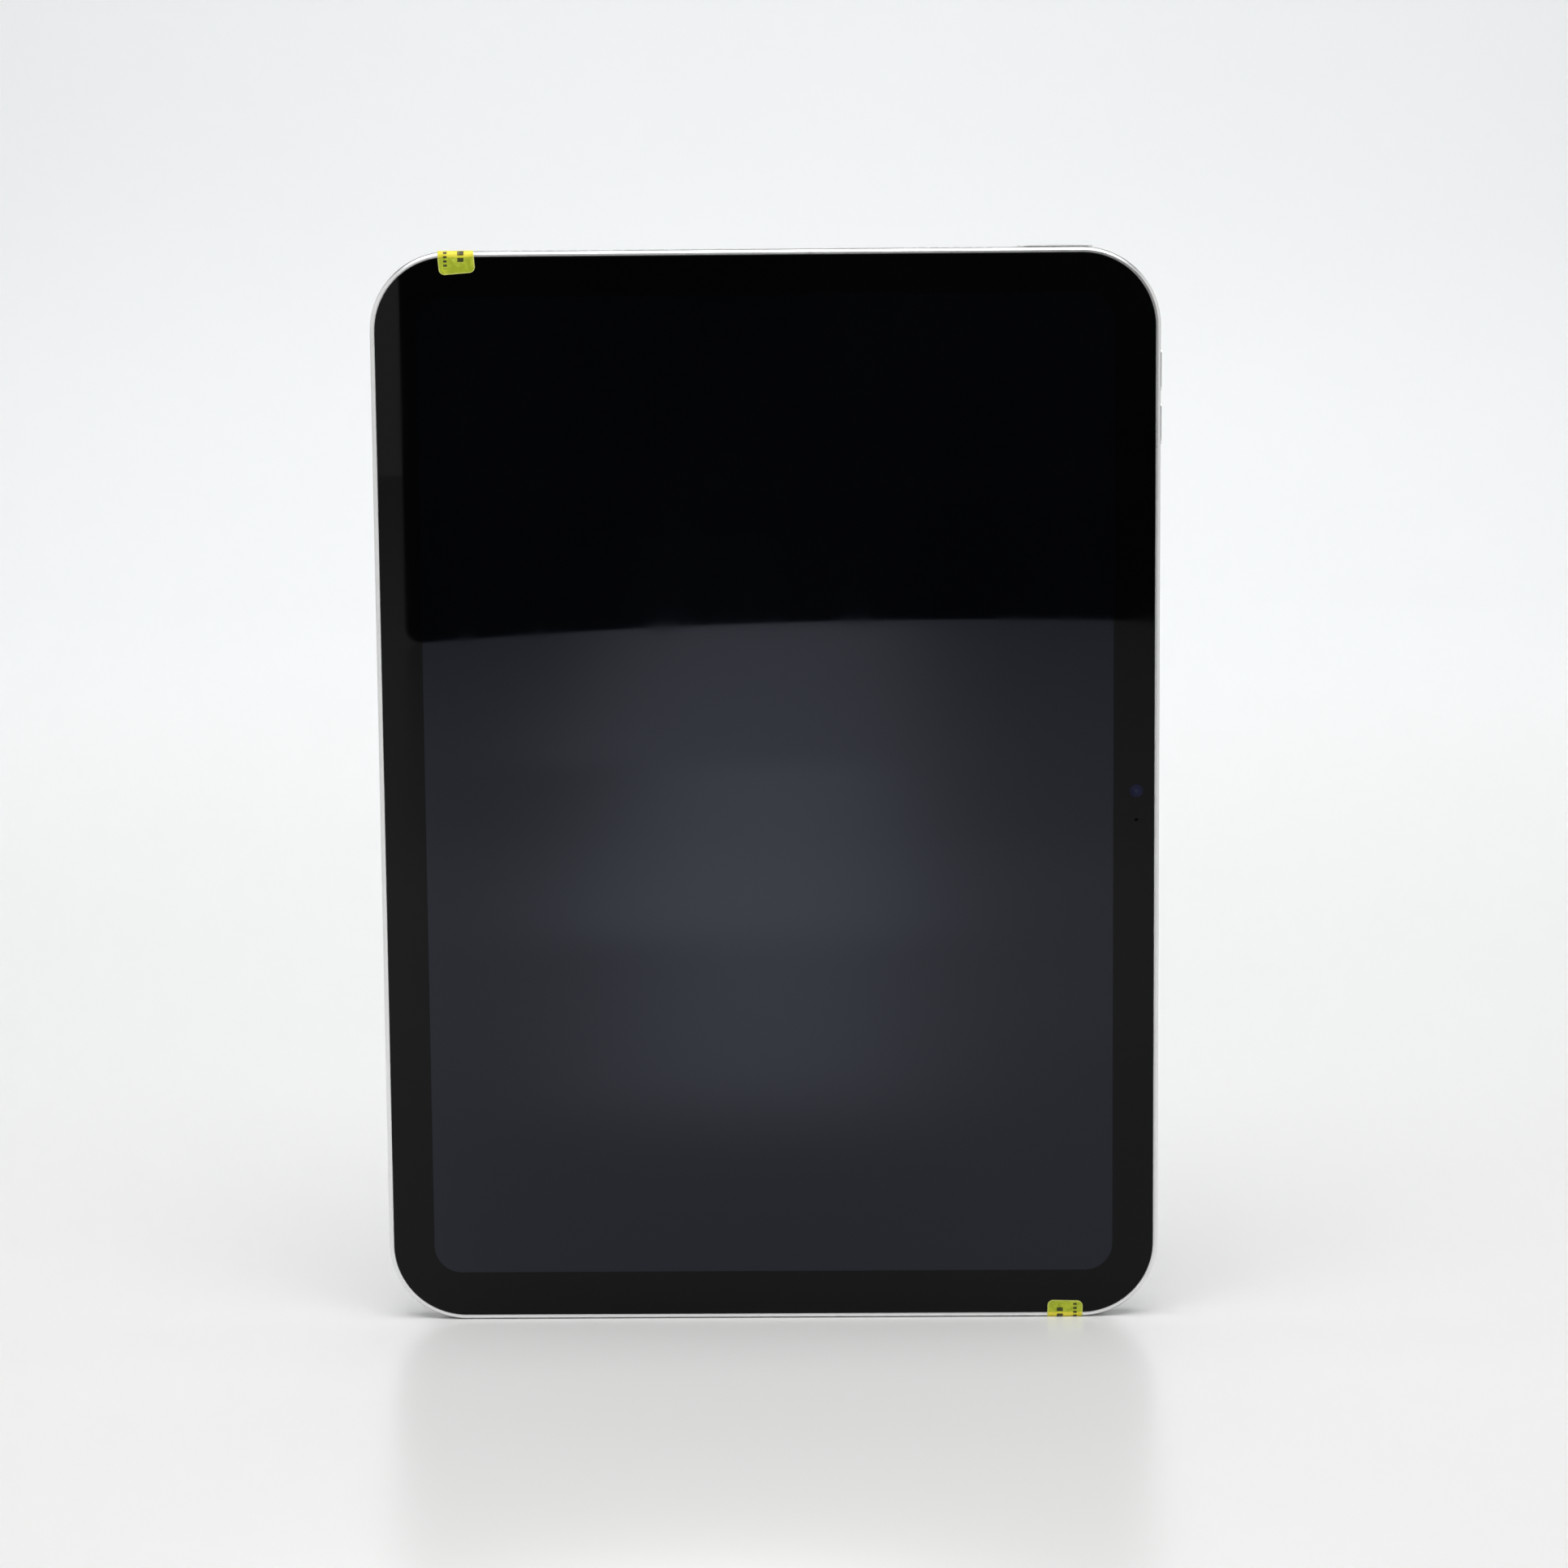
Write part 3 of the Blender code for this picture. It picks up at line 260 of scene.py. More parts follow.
# Camera.
CAMERA_AIM = Vector((3.48 * MM, -3.5 * MM, 126.4 * MM))
CAMERA_AZIMUTH = math.radians(0.88)
CAMERA_ELEVATION = math.radians(8.43)
CAMERA_ROLL = math.radians(-0.49)
CAMERA_DISTANCE = 1.0278
CAMERA_FILM = 36.0
CAMERA_LENS = 102.6
CAMERA_CLIP = (0.05, 20.0)

FACINGS = {
    "front": Matrix.Rotation(math.pi / 2, 4, "X"),
    "side": Matrix.Rotation(math.pi / 2, 4, "Z") @ Matrix.Rotation(math.pi / 2, 4, "X"),
    "top": Matrix.Identity(4),
}
TURNS = {
    "back": Matrix.Rotation(-math.pi / 2, 4, "X"),
    "left": Matrix.Rotation(-math.pi / 2, 4, "Y"),
}
SHARP = math.radians(40)
MERGE = 1e-7


# ---------------------------------------------------------------- materials


class Surface:
    """A node material with one Principled shader, and short ways to add nodes to it."""

    def __init__(self, name, **settings):
        self.material = bpy.data.materials.new(name)
        self.material.use_nodes = True
        self.tree = self.material.node_tree
        self.shader = self.tree.nodes["Principled BSDF"]
        for socket, value in settings.items():
            self.set(self.shader, socket, value)
        self.place = self.add("ShaderNodeTexCoord").outputs["Object"]

    def add(self, kind, links=None, **settings):
        node = self.tree.nodes.new(kind)
        for key, value in settings.items():
            setattr(node, key, value)
        for socket, value in (links or {}).items():
            self.set(node, socket, value)
        return node

    def set(self, node, socket, value):
        target = node.inputs[socket]
        if isinstance(value, bpy.types.NodeSocket):
            self.tree.links.new(value, target)
        elif isinstance(value, tuple) and len(value) == 3 and target.type == "RGBA":
            target.default_value = (*value, 1.0)
        else:
            target.default_value = value

    def math(self, operation, first, second=0.0):
        return self.add("ShaderNodeMath", {0: first, 1: second}, operation=operation).outputs[0]

    def noise(self, scale, detail=3.0, roughness=0.55, place=None):
        links = {"Vector": place or self.place, "Scale": scale, "Detail": detail, "Roughness": roughness}
        return self.add("ShaderNodeTexNoise", links).outputs["Fac"]

    def ramp(self, value, low, high, low_to=0.0, high_to=1.0):
        """value from low..high to low_to..high_to, smoothly and clamped."""
        links = {"Value": value, "From Min": low, "From Max": high, "To Min": low_to, "To Max": high_to}
        node = self.add("ShaderNodeMapRange", links, interpolation_type="SMOOTHSTEP")
        return node.outputs["Result"]

    def mix(self, share, first, second):
        node = self.add("ShaderNodeMix", data_type="RGBA")
        self.set(node, 0, share)
        self.set(node, 6, first)
        self.set(node, 7, second)
        return node.outputs[2]

    def axes(self, place=None):
        return self.add("ShaderNodeSeparateXYZ", {0: place or self.place}).outputs

    def from_point(self, point):
        """The distance from a point of the object."""
        links = {0: self.place, 1: point}
        return self.add("ShaderNodeVectorMath", links, operation="DISTANCE").outputs["Value"]

    def specks(self, scale, radius, share):
        """Sparse dust: small round dots in a given share of the cells."""
        cells = self.add("ShaderNodeTexVoronoi", {"Vector": self.place, "Scale": scale})
        dot = self.ramp(cells.outputs["Distance"], radius * scale * 0.5, radius * scale, 1.0, 0.0)
        picked = self.axes(cells.outputs["Color"])[0]
        return self.math("MULTIPLY", dot, self.math("LESS_THAN", picked, share))

    def bump(self, height, distance, strength):
        links = {"Height": height, "Distance": distance, "Strength": strength}
        self.set(self.shader, "Normal", self.add("ShaderNodeBump", links).outputs[0])


def anodised_aluminium():
    """Bead-blasted, anodised aluminium: fine grain, faint handling marks, two small knocks."""
    look = Surface("anodised_aluminium", Metallic=1.0)
    mottle = look.noise(45, 4)
    grain = look.noise(6500, 2, 0.7)
    marks = look.ramp(look.noise(90, 5, 0.65), 0.56, 0.72)
    tone = look.mix(mottle, (0.765, 0.77, 0.775), (0.83, 0.835, 0.84))
    edges = look.ramp(look.noise(420, 4, 0.7), 0.66, 0.74)
    near_front = look.ramp(look.axes()[1], FRONT_Y + 1.0 * MM, FRONT_Y + 0.2 * MM)
    worn = look.math("MULTIPLY", edges, look.math("MULTIPLY", near_front, 0.45))
    tone = look.mix(worn, tone, (0.93, 0.93, 0.93))
    ragged = look.noise(2600, 3)
    knock = None
    for point, radius in KNOCKS:
        distance = look.math("ADD", look.from_point(point), look.math("MULTIPLY", ragged, radius * 0.8))
        spot = look.ramp(distance, radius * 0.9, radius * 1.4, 1.0, 0.0)
        knock = spot if knock is None else look.math("MAXIMUM", knock, spot)
    tone = look.mix(knock, tone, (0.10, 0.10, 0.10))
    look.set(look.shader, "Base Color", tone)
    rough = look.math("ADD", look.ramp(marks, 0, 1, 0.0, -0.05), look.ramp(grain, 0.3, 0.7, 0.30, 0.38))
    look.set(look.shader, "Roughness", rough)
    depth = look.math("SUBTRACT", grain, look.math("MULTIPLY", knock, 6.0))
    look.bump(depth, 0.004 * MM, 0.5)
    return look.material


def black_glass(name, level, tint, base, haze):
    """Glossy glass over something dark, with faint wipe marks, one smear and a little dust."""
    look = Surface(name)
    look.set(look.shader, "Specular IOR Level", level)
    look.set(look.shader, "Specular Tint", tint)
    stretched = look.add("ShaderNodeMapping", {"Vector": look.place, "Scale": (1.0, 1.0, 0.35)})
    wipes = look.ramp(look.noise(32, 5, 0.6, stretched.outputs[0]), 0.42, 0.75)
    height = look.axes()[2]
    fade_in, fade_out = look.ramp(height, *SMEAR_Z[0]), look.ramp(height, *SMEAR_Z[1], 1.0, 0.0)
    smear = look.math("MULTIPLY", fade_in, fade_out)
    dust = look.math("MAXIMUM", look.specks(62, 0.11 * MM, 0.16), look.specks(150, 0.06 * MM, 0.05))
    film = look.math("ADD", look.math("MULTIPLY", wipes, haze), look.math("MULTIPLY", smear, haze * 0.4))
    lit = tuple(c + 0.02 for c in base)
    tone = look.mix(film, base, lit)
    tone = look.mix(look.math("MULTIPLY", dust, 0.55), tone, (0.42, 0.42, 0.43))
    look.set(look.shader, "Base Color", tone)
    smudge = look.math("ADD", look.math("MULTIPLY", wipes, 0.03), look.math("MULTIPLY", dust, 0.5))
    look.set(look.shader, "Roughness", look.math("ADD", smudge, 0.013))
    return look.material


def camera_window():
    """The clear spot over the front camera: a dark barrel, a blue-violet coated lens, and a paler spot in
    its middle that is a painted highlight.
    """
    look = Surface("front_camera_glass", Roughness=0.03)
    look.set(look.shader, "Specular IOR Level", 0.14)
    out = look.from_point((CAMERA_WINDOW_X, FRONT_Y, MIDDLE_Z))
    uneven = look.noise(900, 2)
    coating = look.mix(uneven, (0.0045, 0.0055, 0.0200), (0.0090, 0.0095, 0.0330))
    # Painted highlight: within 0.75 mm of the middle the colour turns paler and bluer than the coating.
    tone = look.mix(look.ramp(out, 0.20 * MM, 0.75 * MM, 1.0, 0.0), coating, (0.0120, 0.0170, 0.0420))
    tone = look.mix(look.ramp(out, 1.30 * MM, 1.60 * MM), tone, (0.0030, 0.0030, 0.0060))
    look.set(look.shader, "Base Color", tone)
    return look.material


def sensor_window():
    """The dark spot over the light sensor."""
    look = Surface("light_sensor_glass", Roughness=0.05)
    look.set(look.shader, "Specular IOR Level", 0.02)
    tone = look.mix(look.noise(1500), (0.0008, 0.0008, 0.001), (0.002, 0.001, 0.003))
    look.set(look.shader, "Base Color", tone)
    return look.material


def seal_marks(look):
    """Plain printed bars: a column of ticks and two blocks on each seal."""

    def below(value, limit):
        return look.math("LESS_THAN", value, limit)

    x, _, z = look.axes()
    ink = None
    for _, _, _, middle_x, end, _ in SEALS:
        across = look.math("MULTIPLY", look.math("SUBTRACT", x, middle_x), end)
        edge_z = HEIGHT if end > 0 else 0.0
        inwards = look.math("MULTIPLY", look.math("SUBTRACT", edge_z, z), end)
        on_seal = below(look.math("ABSOLUTE", across), SEAL_W / 2)
        for middle, half, start, pitch, share, length in SEAL_PRINT:
            repeat = look.math("DIVIDE", look.math("ADD", inwards, start), pitch)
            bar = below(look.math("FRACT", repeat), share)
            column = below(look.math("ABSOLUTE", look.math("SUBTRACT", across, middle)), half)
            marks = look.math("MULTIPLY", look.math("MULTIPLY", bar, column), below(inwards, length))
            marks = look.math("MULTIPLY", marks, on_seal)
            ink = marks if ink is None else look.math("MAXIMUM", ink, marks)
    return look.math("MULTIPLY", ink, look.ramp(look.noise(2200, 2), 0.25, 0.5, 0.6, 0.95))


def yellow_seal():
    """Thin tinted film: bright over bare metal, greener and darker where it lies on black glass."""
    look = Surface("yellow_seal")
    look.set(look.shader, "Specular IOR Level", 0.35)
    height = look.axes()[2]
    from_middle = look.math("ABSOLUTE", look.math("SUBTRACT", height, MIDDLE_Z))
    glass_end = MIDDLE_Z - GLASS_INSET
    on_metal = look.ramp(from_middle, glass_end - 0.12 * MM, glass_end + 0.12 * MM)
    depth = look.ramp(look.axes()[1], FRONT_Y + 0.1 * MM, FRONT_Y + 0.5 * MM)
    on_metal = look.math("MAXIMUM", on_metal, depth)
    blotch = look.noise(700, 4, 0.6)
    tint = look.ramp(blotch, 0.35, 0.65)
    over_glass = look.mix(tint, (0.350, 0.430, 0.012), (0.520, 0.600, 0.028))
    over_metal = look.mix(tint, (0.780, 0.670, 0.020), (0.900, 0.800, 0.060))
    tone = look.mix(on_metal, over_glass, over_metal)
    cells = look.add("ShaderNodeTexVoronoi", {"Vector": look.place, "Scale": 1300})
    fleck = look.ramp(cells.outputs["Distance"], 0.18, 0.32, 1.0, 0.0)
    some = look.math("LESS_THAN", look.axes(cells.outputs["Color"])[1], 0.22)
    flecks = look.math("MULTIPLY", look.math("MULTIPLY", fleck, some), 0.5)
    tone = look.mix(flecks, tone, (0.72, 0.78, 0.20))
    look.set(look.shader, "Base Color", look.mix(seal_marks(look), tone, (0.012, 0.013, 0.005)))
    look.set(look.shader, "Roughness", look.ramp(blotch, 0.3, 0.7, 0.32, 0.46))
    look.bump(blotch, 0.01 * MM, 0.4)
    return look.material


def seal_edge():
    """The seal's cut border, where no adhesive colour shows through."""
    look = Surface("yellow_seal_edge", Roughness=0.4)
    tone = look.mix(look.noise(900, 3), (0.60, 0.64, 0.12), (0.74, 0.76, 0.22))
    look.set(look.shader, "Base Color", tone)
    return look.material


def metal(name, dark, light, rough, brushed=(1, 1, 1)):
    """Plain metal with a fine grain, drawn out along an axis where it is brushed."""
    look = Surface(name, Metallic=1.0)
    place = look.add("ShaderNodeMapping", {"Vector": look.place, "Scale": brushed}).outputs[0]
    fine = look.noise(2400, 3, 0.6, place)
    look.set(look.shader, "Base Color", look.mix(look.noise(120, 4), dark, light))
    look.set(look.shader, "Roughness", look.ramp(fine, 0.3, 0.7, rough - 0.06, rough + 0.08))
    look.bump(fine, 0.003 * MM, 0.5)
    return look.material


def plastic(name, dark, light, rough, scale=300, grain=0.01 * MM):
    """Moulded plastic, film or foil: a slight change of tone and a fine grain."""
    look = Surface(name)
    fine = look.noise(scale * 8, 3, 0.6)
    look.set(look.shader, "Base Color", look.mix(look.noise(scale, 4), dark, light))
    look.set(look.shader, "Roughness", look.ramp(fine, 0.3, 0.7, rough - 0.05, rough + 0.1))
    look.bump(fine, grain, 0.5)
    return look.material


def coated_lens(name, middle, ring, point):
    """Dark optics: a coloured reflection coating that changes from the middle outwards."""
    look = Surface(name, Roughness=0.02)
    look.set(look.shader, "Coat Weight", 0.6)
    look.set(look.shader, "Coat Roughness", 0.01)
    out = look.math("ADD", look.from_point(point), look.math("MULTIPLY", look.noise(700, 2), 0.1 * MM))
    tone = look.mix(look.ramp(out, 0.9 * MM, 2.0 * MM), middle, ring)
    look.set(look.shader, "Base Color", tone)
    return look.material


def circuit_board():
    """Dark solder mask with fine copper tracks and small pads."""
    look = Surface("circuit_board")
    links = {"Vector": look.place, "Rotation": (math.pi / 2, 0, 0)}
    upright = look.add("ShaderNodeMapping", links).outputs[0]
    links = {"Vector": upright, "Scale": 260.0, "Mortar Size": 0.03}
    tracks = look.add("ShaderNodeTexBrick", links)
    pads = look.specks(500, 0.35 * MM, 0.3)
    tone = look.mix(tracks.outputs["Fac"], (0.006, 0.022, 0.014), (0.014, 0.045, 0.028))
    look.set(look.shader, "Base Color", look.mix(pads, tone, (0.55, 0.42, 0.20)))
    look.set(look.shader, "Metallic", pads)
    look.set(look.shader, "Roughness", look.ramp(look.noise(900), 0.3, 0.7, 0.32, 0.48))
    look.bump(tracks.outputs["Fac"], 0.02 * MM, 0.5)
    return look.material


def woven_mesh():
    """Fine black dust mesh behind the speaker holes."""
    look = Surface("dust_mesh")
    waves = []
    for direction in ("X", "Y"):
        links = {"Vector": look.place, "Scale": 900.0}
        wave = look.add("ShaderNodeTexWave", links, bands_direction=direction)
        waves.append(wave.outputs["Fac"])
    weave = look.math("MAXIMUM", *waves)
    look.set(look.shader, "Base Color", look.mix(weave, (0.003, 0.003, 0.003), (0.035, 0.035, 0.037)))
    look.set(look.shader, "Roughness", look.ramp(weave, 0.0, 1.0, 0.75, 0.45))
    look.bump(weave, 0.05 * MM, 0.8)
    return look.material


class Looks:
    """Every material of the object, made once."""

    def __init__(self):
        self.aluminium = anodised_aluminium()
        black = (0.0009, 0.0010, 0.0012)
        self.border = black_glass("cover_glass_border", 0.175, (1, 1, 1), black, 0.02)
        black = (0.0009, 0.0011, 0.0016)
        self.display = black_glass("display_window", 0.46, (0.735, 0.785, 1.0), black, 0.02)
        self.camera_window = camera_window()
        self.sensor_window = sensor_window()
        self.seal = yellow_seal()
        self.seal_edge = seal_edge()
        self.sapphire = coated_lens(
            "fingerprint_sapphire", (0.006, 0.006, 0.008), (0.012, 0.012, 0.014), (TOP_BUTTON_X, 0, HEIGHT)
        )
        camera = (CAMERA_X, BACK_Y, CAMERA_Z)
        self.lens = coated_lens("lens", (0.015, 0.010, 0.045), (0.004, 0.006, 0.010), camera)
        self.cover = coated_lens("camera_cover_glass", (0.006, 0.006, 0.012), (0.004, 0.004, 0.005), camera)
        self.steel = metal("steel", (0.50, 0.50, 0.51), (0.62, 0.62, 0.63), 0.30)
        self.gold = metal("gold_contact", (0.80, 0.58, 0.24), (0.92, 0.72, 0.36), 0.24)
        self.shield = metal("shield_can", (0.58, 0.57, 0.54), (0.68, 0.67, 0.64), 0.34, brushed=(1, 1, 12))
        self.magnet = metal("magnet", (0.34, 0.34, 0.36), (0.44, 0.44, 0.46), 0.30)
        silver = (0.72, 0.72, 0.71), (0.82, 0.82, 0.81)
        self.reflector = metal("backlight_back", *silver, 0.28, brushed=(10, 1, 1))
        self.plastic = plastic("black_plastic", (0.010, 0.010, 0.011), (0.022, 0.022, 0.024), 0.42)
        self.grey = plastic("grey_plastic", (0.40, 0.40, 0.41), (0.48, 0.48, 0.49), 0.45)
        self.tape = plastic("black_adhesive", (0.008, 0.008, 0.008), (0.02, 0.02, 0.02), 0.6)
        self.panel = plastic("display_glass", (0.012, 0.012, 0.018), (0.022, 0.022, 0.03), 0.15)
        foil = (0.018, 0.018, 0.020), (0.040, 0.040, 0.044)
        self.pouch = plastic("battery_pouch", *foil, 0.36, 80, 0.06 * MM)
        self.flex = plastic("flex_cable", (0.018, 0.014, 0.008), (0.050, 0.034, 0.012), 0.38)
        self.board = circuit_board()
        self.mesh = woven_mesh()


# ---------------------------------------------------------------- geometry


def round_rect(width, height, radius, steps, middle=(0, 0)):
    """Points of a rectangle with round corners, counterclockwise."""
    points = []
    for side_x, side_y, start in ((1, -1, -90), (1, 1, 0), (-1, 1, 90), (-1, -1, 180)):
        x = middle[0] + side_x * (width / 2 - radius)
        y = middle[1] + side_y * (height / 2 - radius)
        for step in range(steps + 1):
            angle = math.radians(start + 90 * step / steps)
            points.append((x + radius * math.cos(angle), y + radius * math.sin(angle)))
    return points


def circle(radius, middle=(0, 0), steps=48):
    turns = [2 * math.pi * step / steps for step in range(steps)]
    return [(middle[0] + radius * math.cos(t), middle[1] + radius * math.sin(t)) for t in turns]


def stadium(width, height, steps=14):
    """Points of a rectangle with fully round ends, just short of meeting."""
    return round_rect(width, height, min(width, height) / 2 * 0.999, steps)


def link(obj):
    bpy.context.scene.collection.objects.link(obj)
    return obj


def finished(edit, name):
    """A new object from a finished bmesh."""
    mesh = bpy.data.meshes.new(name)
    edit.to_mesh(mesh)
    edit.free()
    return link(bpy.data.objects.new(name, mesh))


def smooth(obj, angle=32):
    obj.data.shade_smooth()
    obj.data.set_sharp_from_angle(angle=math.radians(angle))
    return obj


def dress(obj, *looks):
    if obj.data.materials:
        obj.data.materials.clear()
    for look in looks:
        obj.data.materials.append(look)
    return obj


def bake(obj):
    """Replaces an object's modifiers by their result."""
    bpy.context.view_layer.update()
    graph = bpy.context.evaluated_depsgraph_get()
    made = bpy.data.meshes.new_from_object(obj.evaluated_get(graph))
    obj.modifiers.clear()
    obj.data = made
    return obj


def prism(name, loops, middle, thickness, facing):
    """A flat piece: an outline with any holes after it, extruded either side of its middle."""
    curve = bpy.data.curves.new(name, "CURVE")
    curve.dimensions = "2D"
    curve.fill_mode = "BOTH"
    curve.extrude = thickness / 2
    for loop in loops:
        spline = curve.splines.new("POLY")
        spline.points.add(len(loop) - 1)
        for point, (x, y) in zip(spline.points, loop):
            point.co = (x, y, 0, 1)
        spline.use_cyclic_u = True
    outline = link(bpy.data.objects.new(name, curve))
    bpy.context.view_layer.update()
    graph = bpy.context.evaluated_depsgraph_get()
    mesh = bpy.data.meshes.new_from_object(outline.evaluated_get(graph))
    bpy.data.objects.remove(outline)
    bpy.data.curves.remove(curve)
    edit = bmesh.new()
    edit.from_mesh(mesh)
    bmesh.ops.remove_doubles(edit, verts=edit.verts, dist=MERGE)
    bmesh.ops.dissolve_limit(edit, angle_limit=0.001, verts=edit.verts, edges=edit.edges)
    bmesh.ops.recalc_face_normals(edit, faces=edit.faces)
    edit.transform(Matrix.Translation(middle) @ FACINGS[facing])
    edit.to_mesh(mesh)
    edit.free()
    mesh.name = name
    return link(bpy.data.objects.new(name, mesh))


def turned(name, profile, place, direction, steps=96):
    """A turned piece. The profile's (radius, height) points run from its top to its bottom."""
    mesh = bpy.data.meshes.new(name)
    corners = [(radius, 0, height) for radius, height in profile]
    mesh.from_pydata(corners, [(i, i + 1) for i in range(len(corners) - 1)], [])
    obj = link(bpy.data.objects.new(name, mesh))
    screw = obj.modifiers.new("turn", "SCREW")
    screw.steps = steps
    screw.render_steps = steps
    screw.use_merge_vertices = True
    screw.merge_threshold = 1e-6
    bake(obj)
    edit = bmesh.new()
    edit.from_mesh(obj.data)
    bmesh.ops.remove_doubles(edit, verts=edit.verts, dist=MERGE)
    bmesh.ops.recalc_face_normals(edit, faces=edit.faces)
    edit.transform(Matrix.Translation(place) @ TURNS[direction])
    edit.to_mesh(obj.data)
    edit.free()
    return obj


def arc(radius, x, y, start, end, steps):
    """Points of an arc for a profile, from start to end degrees."""
    angles = [math.radians(start + (end - start) * i / steps) for i in range(steps + 1)]
    return [(x + radius * math.cos(a), y + radius * math.sin(a)) for a in angles]


def soften(obj, width, segments=3, pick=None):
    """Rounds every sharp edge, or those that pick accepts by their middle.

    A solid that is cut or joined afterwards can come out wrong, so a cap is rounded last.
    """
    edit = bmesh.new()
    edit.from_mesh(obj.data)
    chosen = []
    for edge in edit.edges:
        if len(edge.link_faces) != 2 or edge.calc_face_angle() < SHARP:
            continue
        if pick is None or pick((edge.verts[0].co + edge.verts[1].co) / 2):
            chosen.append(edge)
    bmesh.ops.bevel(
        edit, geom=chosen, offset=width, segments=segments, profile=0.5, affect="EDGES", clamp_overlap=True
    )
    edit.to_mesh(obj.data)
    edit.free()
    return obj


def cut(obj, *others, operation="DIFFERENCE"):
    """Takes the other solids out of the object, or joins them to it, and deletes them."""
    for other in others:
        change = obj.modifiers.new(operation.lower(), "BOOLEAN")
        change.operation = operation
        change.object = other
        change.solver = "EXACT"
    bake(obj)
    for other in others:
        bpy.data.objects.remove(other)
    return obj


def even_shading(obj):
    smooth(obj)
    weighted = obj.modifiers.new("even_shading", "WEIGHTED_NORMAL")
    weighted.keep_sharp = True
    return obj


def piece(obj, name, body, slot, nodes, *looks):
    """Names a finished piece, gives it its looks, parents it to its body's empty and hides the CAD nodes
    that it replaces.
    """
    obj.name = name
    obj.data.name = name
    dress(obj, *looks)
    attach(obj, body)
    if nodes:
        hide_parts(*nodes)
    return obj


# ---------------------------------------------------------------- housing


def speaker_holes():
    """Every speaker hole, each with a small chamfer at the outer face, as one cutter."""
    edit = bmesh.new()
    reach, flare = WALL + 1.0 * MM, HOLE_R + HOLE_CHAMFER
    profile = ((HOLE_R, -reach), (HOLE_R, -HOLE_CHAMFER), (flare, 0), (flare, HOLE_FLARE_OUT))
    for side, count, end in HOLE_ROWS:
        face_z = HEIGHT if end > 0 else 0.0
        for index in range(count):
            x = side * (HOLE_FIRST + HOLE_PITCH * index)
            rings = []
            for radius, out in profile:
                loop = circle(radius, (x, 0), HOLE_STEPS)
                rings.append([edit.verts.new((a, b, face_z + end * out)) for a, b in loop])
            for low, high in zip(rings, rings[1:]):
                for i in range(HOLE_STEPS):
                    edit.faces.new((low[i], low[i - 1], high[i - 1], high[i]))
            edit.faces.new(rings[0])
            edit.faces.new(rings[-1])
    bmesh.ops.recalc_face_normals(edit, faces=edit.faces)
    return finished(edit, "speaker_holes")


def wall_openings():
    """A cutter for each other opening: button slots, port, connector, camera, microphones."""
    deep = WALL + 2.0 * MM
    slot = stadium(TOP_BUTTON[0] + 2 * SLOT_GAP, TOP_BUTTON[1] + 2 * SLOT_GAP)
    yield prism("cut", [slot], (TOP_BUTTON_X, 0, HEIGHT - WALL / 2), deep, "top")
    for z in VOLUME_Z.values():
        slot = stadium(VOLUME[1] + 2 * SLOT_GAP, VOLUME[0] + 2 * SLOT_GAP)
        yield prism("cut", [slot], (SIDE_X - WALL / 2, 0, z), deep, "side")
    port = stadium(PORT[0] + 0.3 * MM, PORT[1] + 0.3 * MM)
    yield prism("cut", [port], (0, 0, WALL / 2), deep, "top")
    accessory = stadium(ACCESSORY[0] + 0.2 * MM, ACCESSORY[1] + 0.2 * MM)
    yield prism("cut", [accessory], (WALL / 2 - SIDE_X, 0, MIDDLE_Z), deep, "side")
    bore = circle(RING_BORE_R + 0.15 * MM, steps=96)
    yield prism("cut", [bore], (CAMERA_X, BACK_Y, CAMERA_Z), deep, "front")
    mic = circle(MIC_HOLE_R, steps=24)
    yield prism("cut", [mic], (REAR_MIC_X, BACK_Y, CAMERA_Z), deep, "front")
    yield prism("cut", [mic], (SIDE_X - WALL / 2, 0, SIDE_MIC_Z), deep, "side")


def body_outline(inset):
    return round_rect(WIDTH - 2 * inset, HEIGHT - 2 * inset, CORNER_R - inset, OUTLINE_STEPS)


def hollow(inset, floor_y):
    """A cutter for the inside, open at the front."""
    outline = body_outline(inset)
    depth = floor_y - FRONT_Y + 1.0 * MM
    return prism("cut", [outline], (0, floor_y - depth / 2, MIDDLE_Z), depth, "front")


def housing(looks):
    """The one-piece shell: round edges, ledge for the glass, openings and screw bosses."""
    shell = prism("shell", [body_outline(0)], (0, 0, MIDDLE_Z), THICKNESS, "front")
    soften(shell, EDGE_R, 8)
    cut(shell, hollow(RIM, LEDGE_Y), hollow(WALL, FLOOR_Y), speaker_holes(), *wall_openings())
    bosses = []
    for side in (-1, 1):
        for end in (-1, 1):
            place = (side * BOSS_X, BOSS_Y, MIDDLE_Z + end * BOSS_DZ)
            ring = [circle(BOSS_R, steps=24), circle(BOSS_HOLE_R, steps=16)]
            bosses.append(prism("boss", ring, place, BOSS_LENGTH, "front"))
    cut(shell, *bosses, operation="UNION")
    even_shading(shell)
    piece(shell, "housing_shell", "tablet", "anodised_aluminium", ["rear_housing"], looks.aluminium)


# ---------------------------------------------------------------- front


def glass_plate(loops, z):
    thickness = GLASS_BACK_Y - FRONT_Y
    return prism("glass", loops, (0, FRONT_Y + thickness / 2, z), thickness, "front")


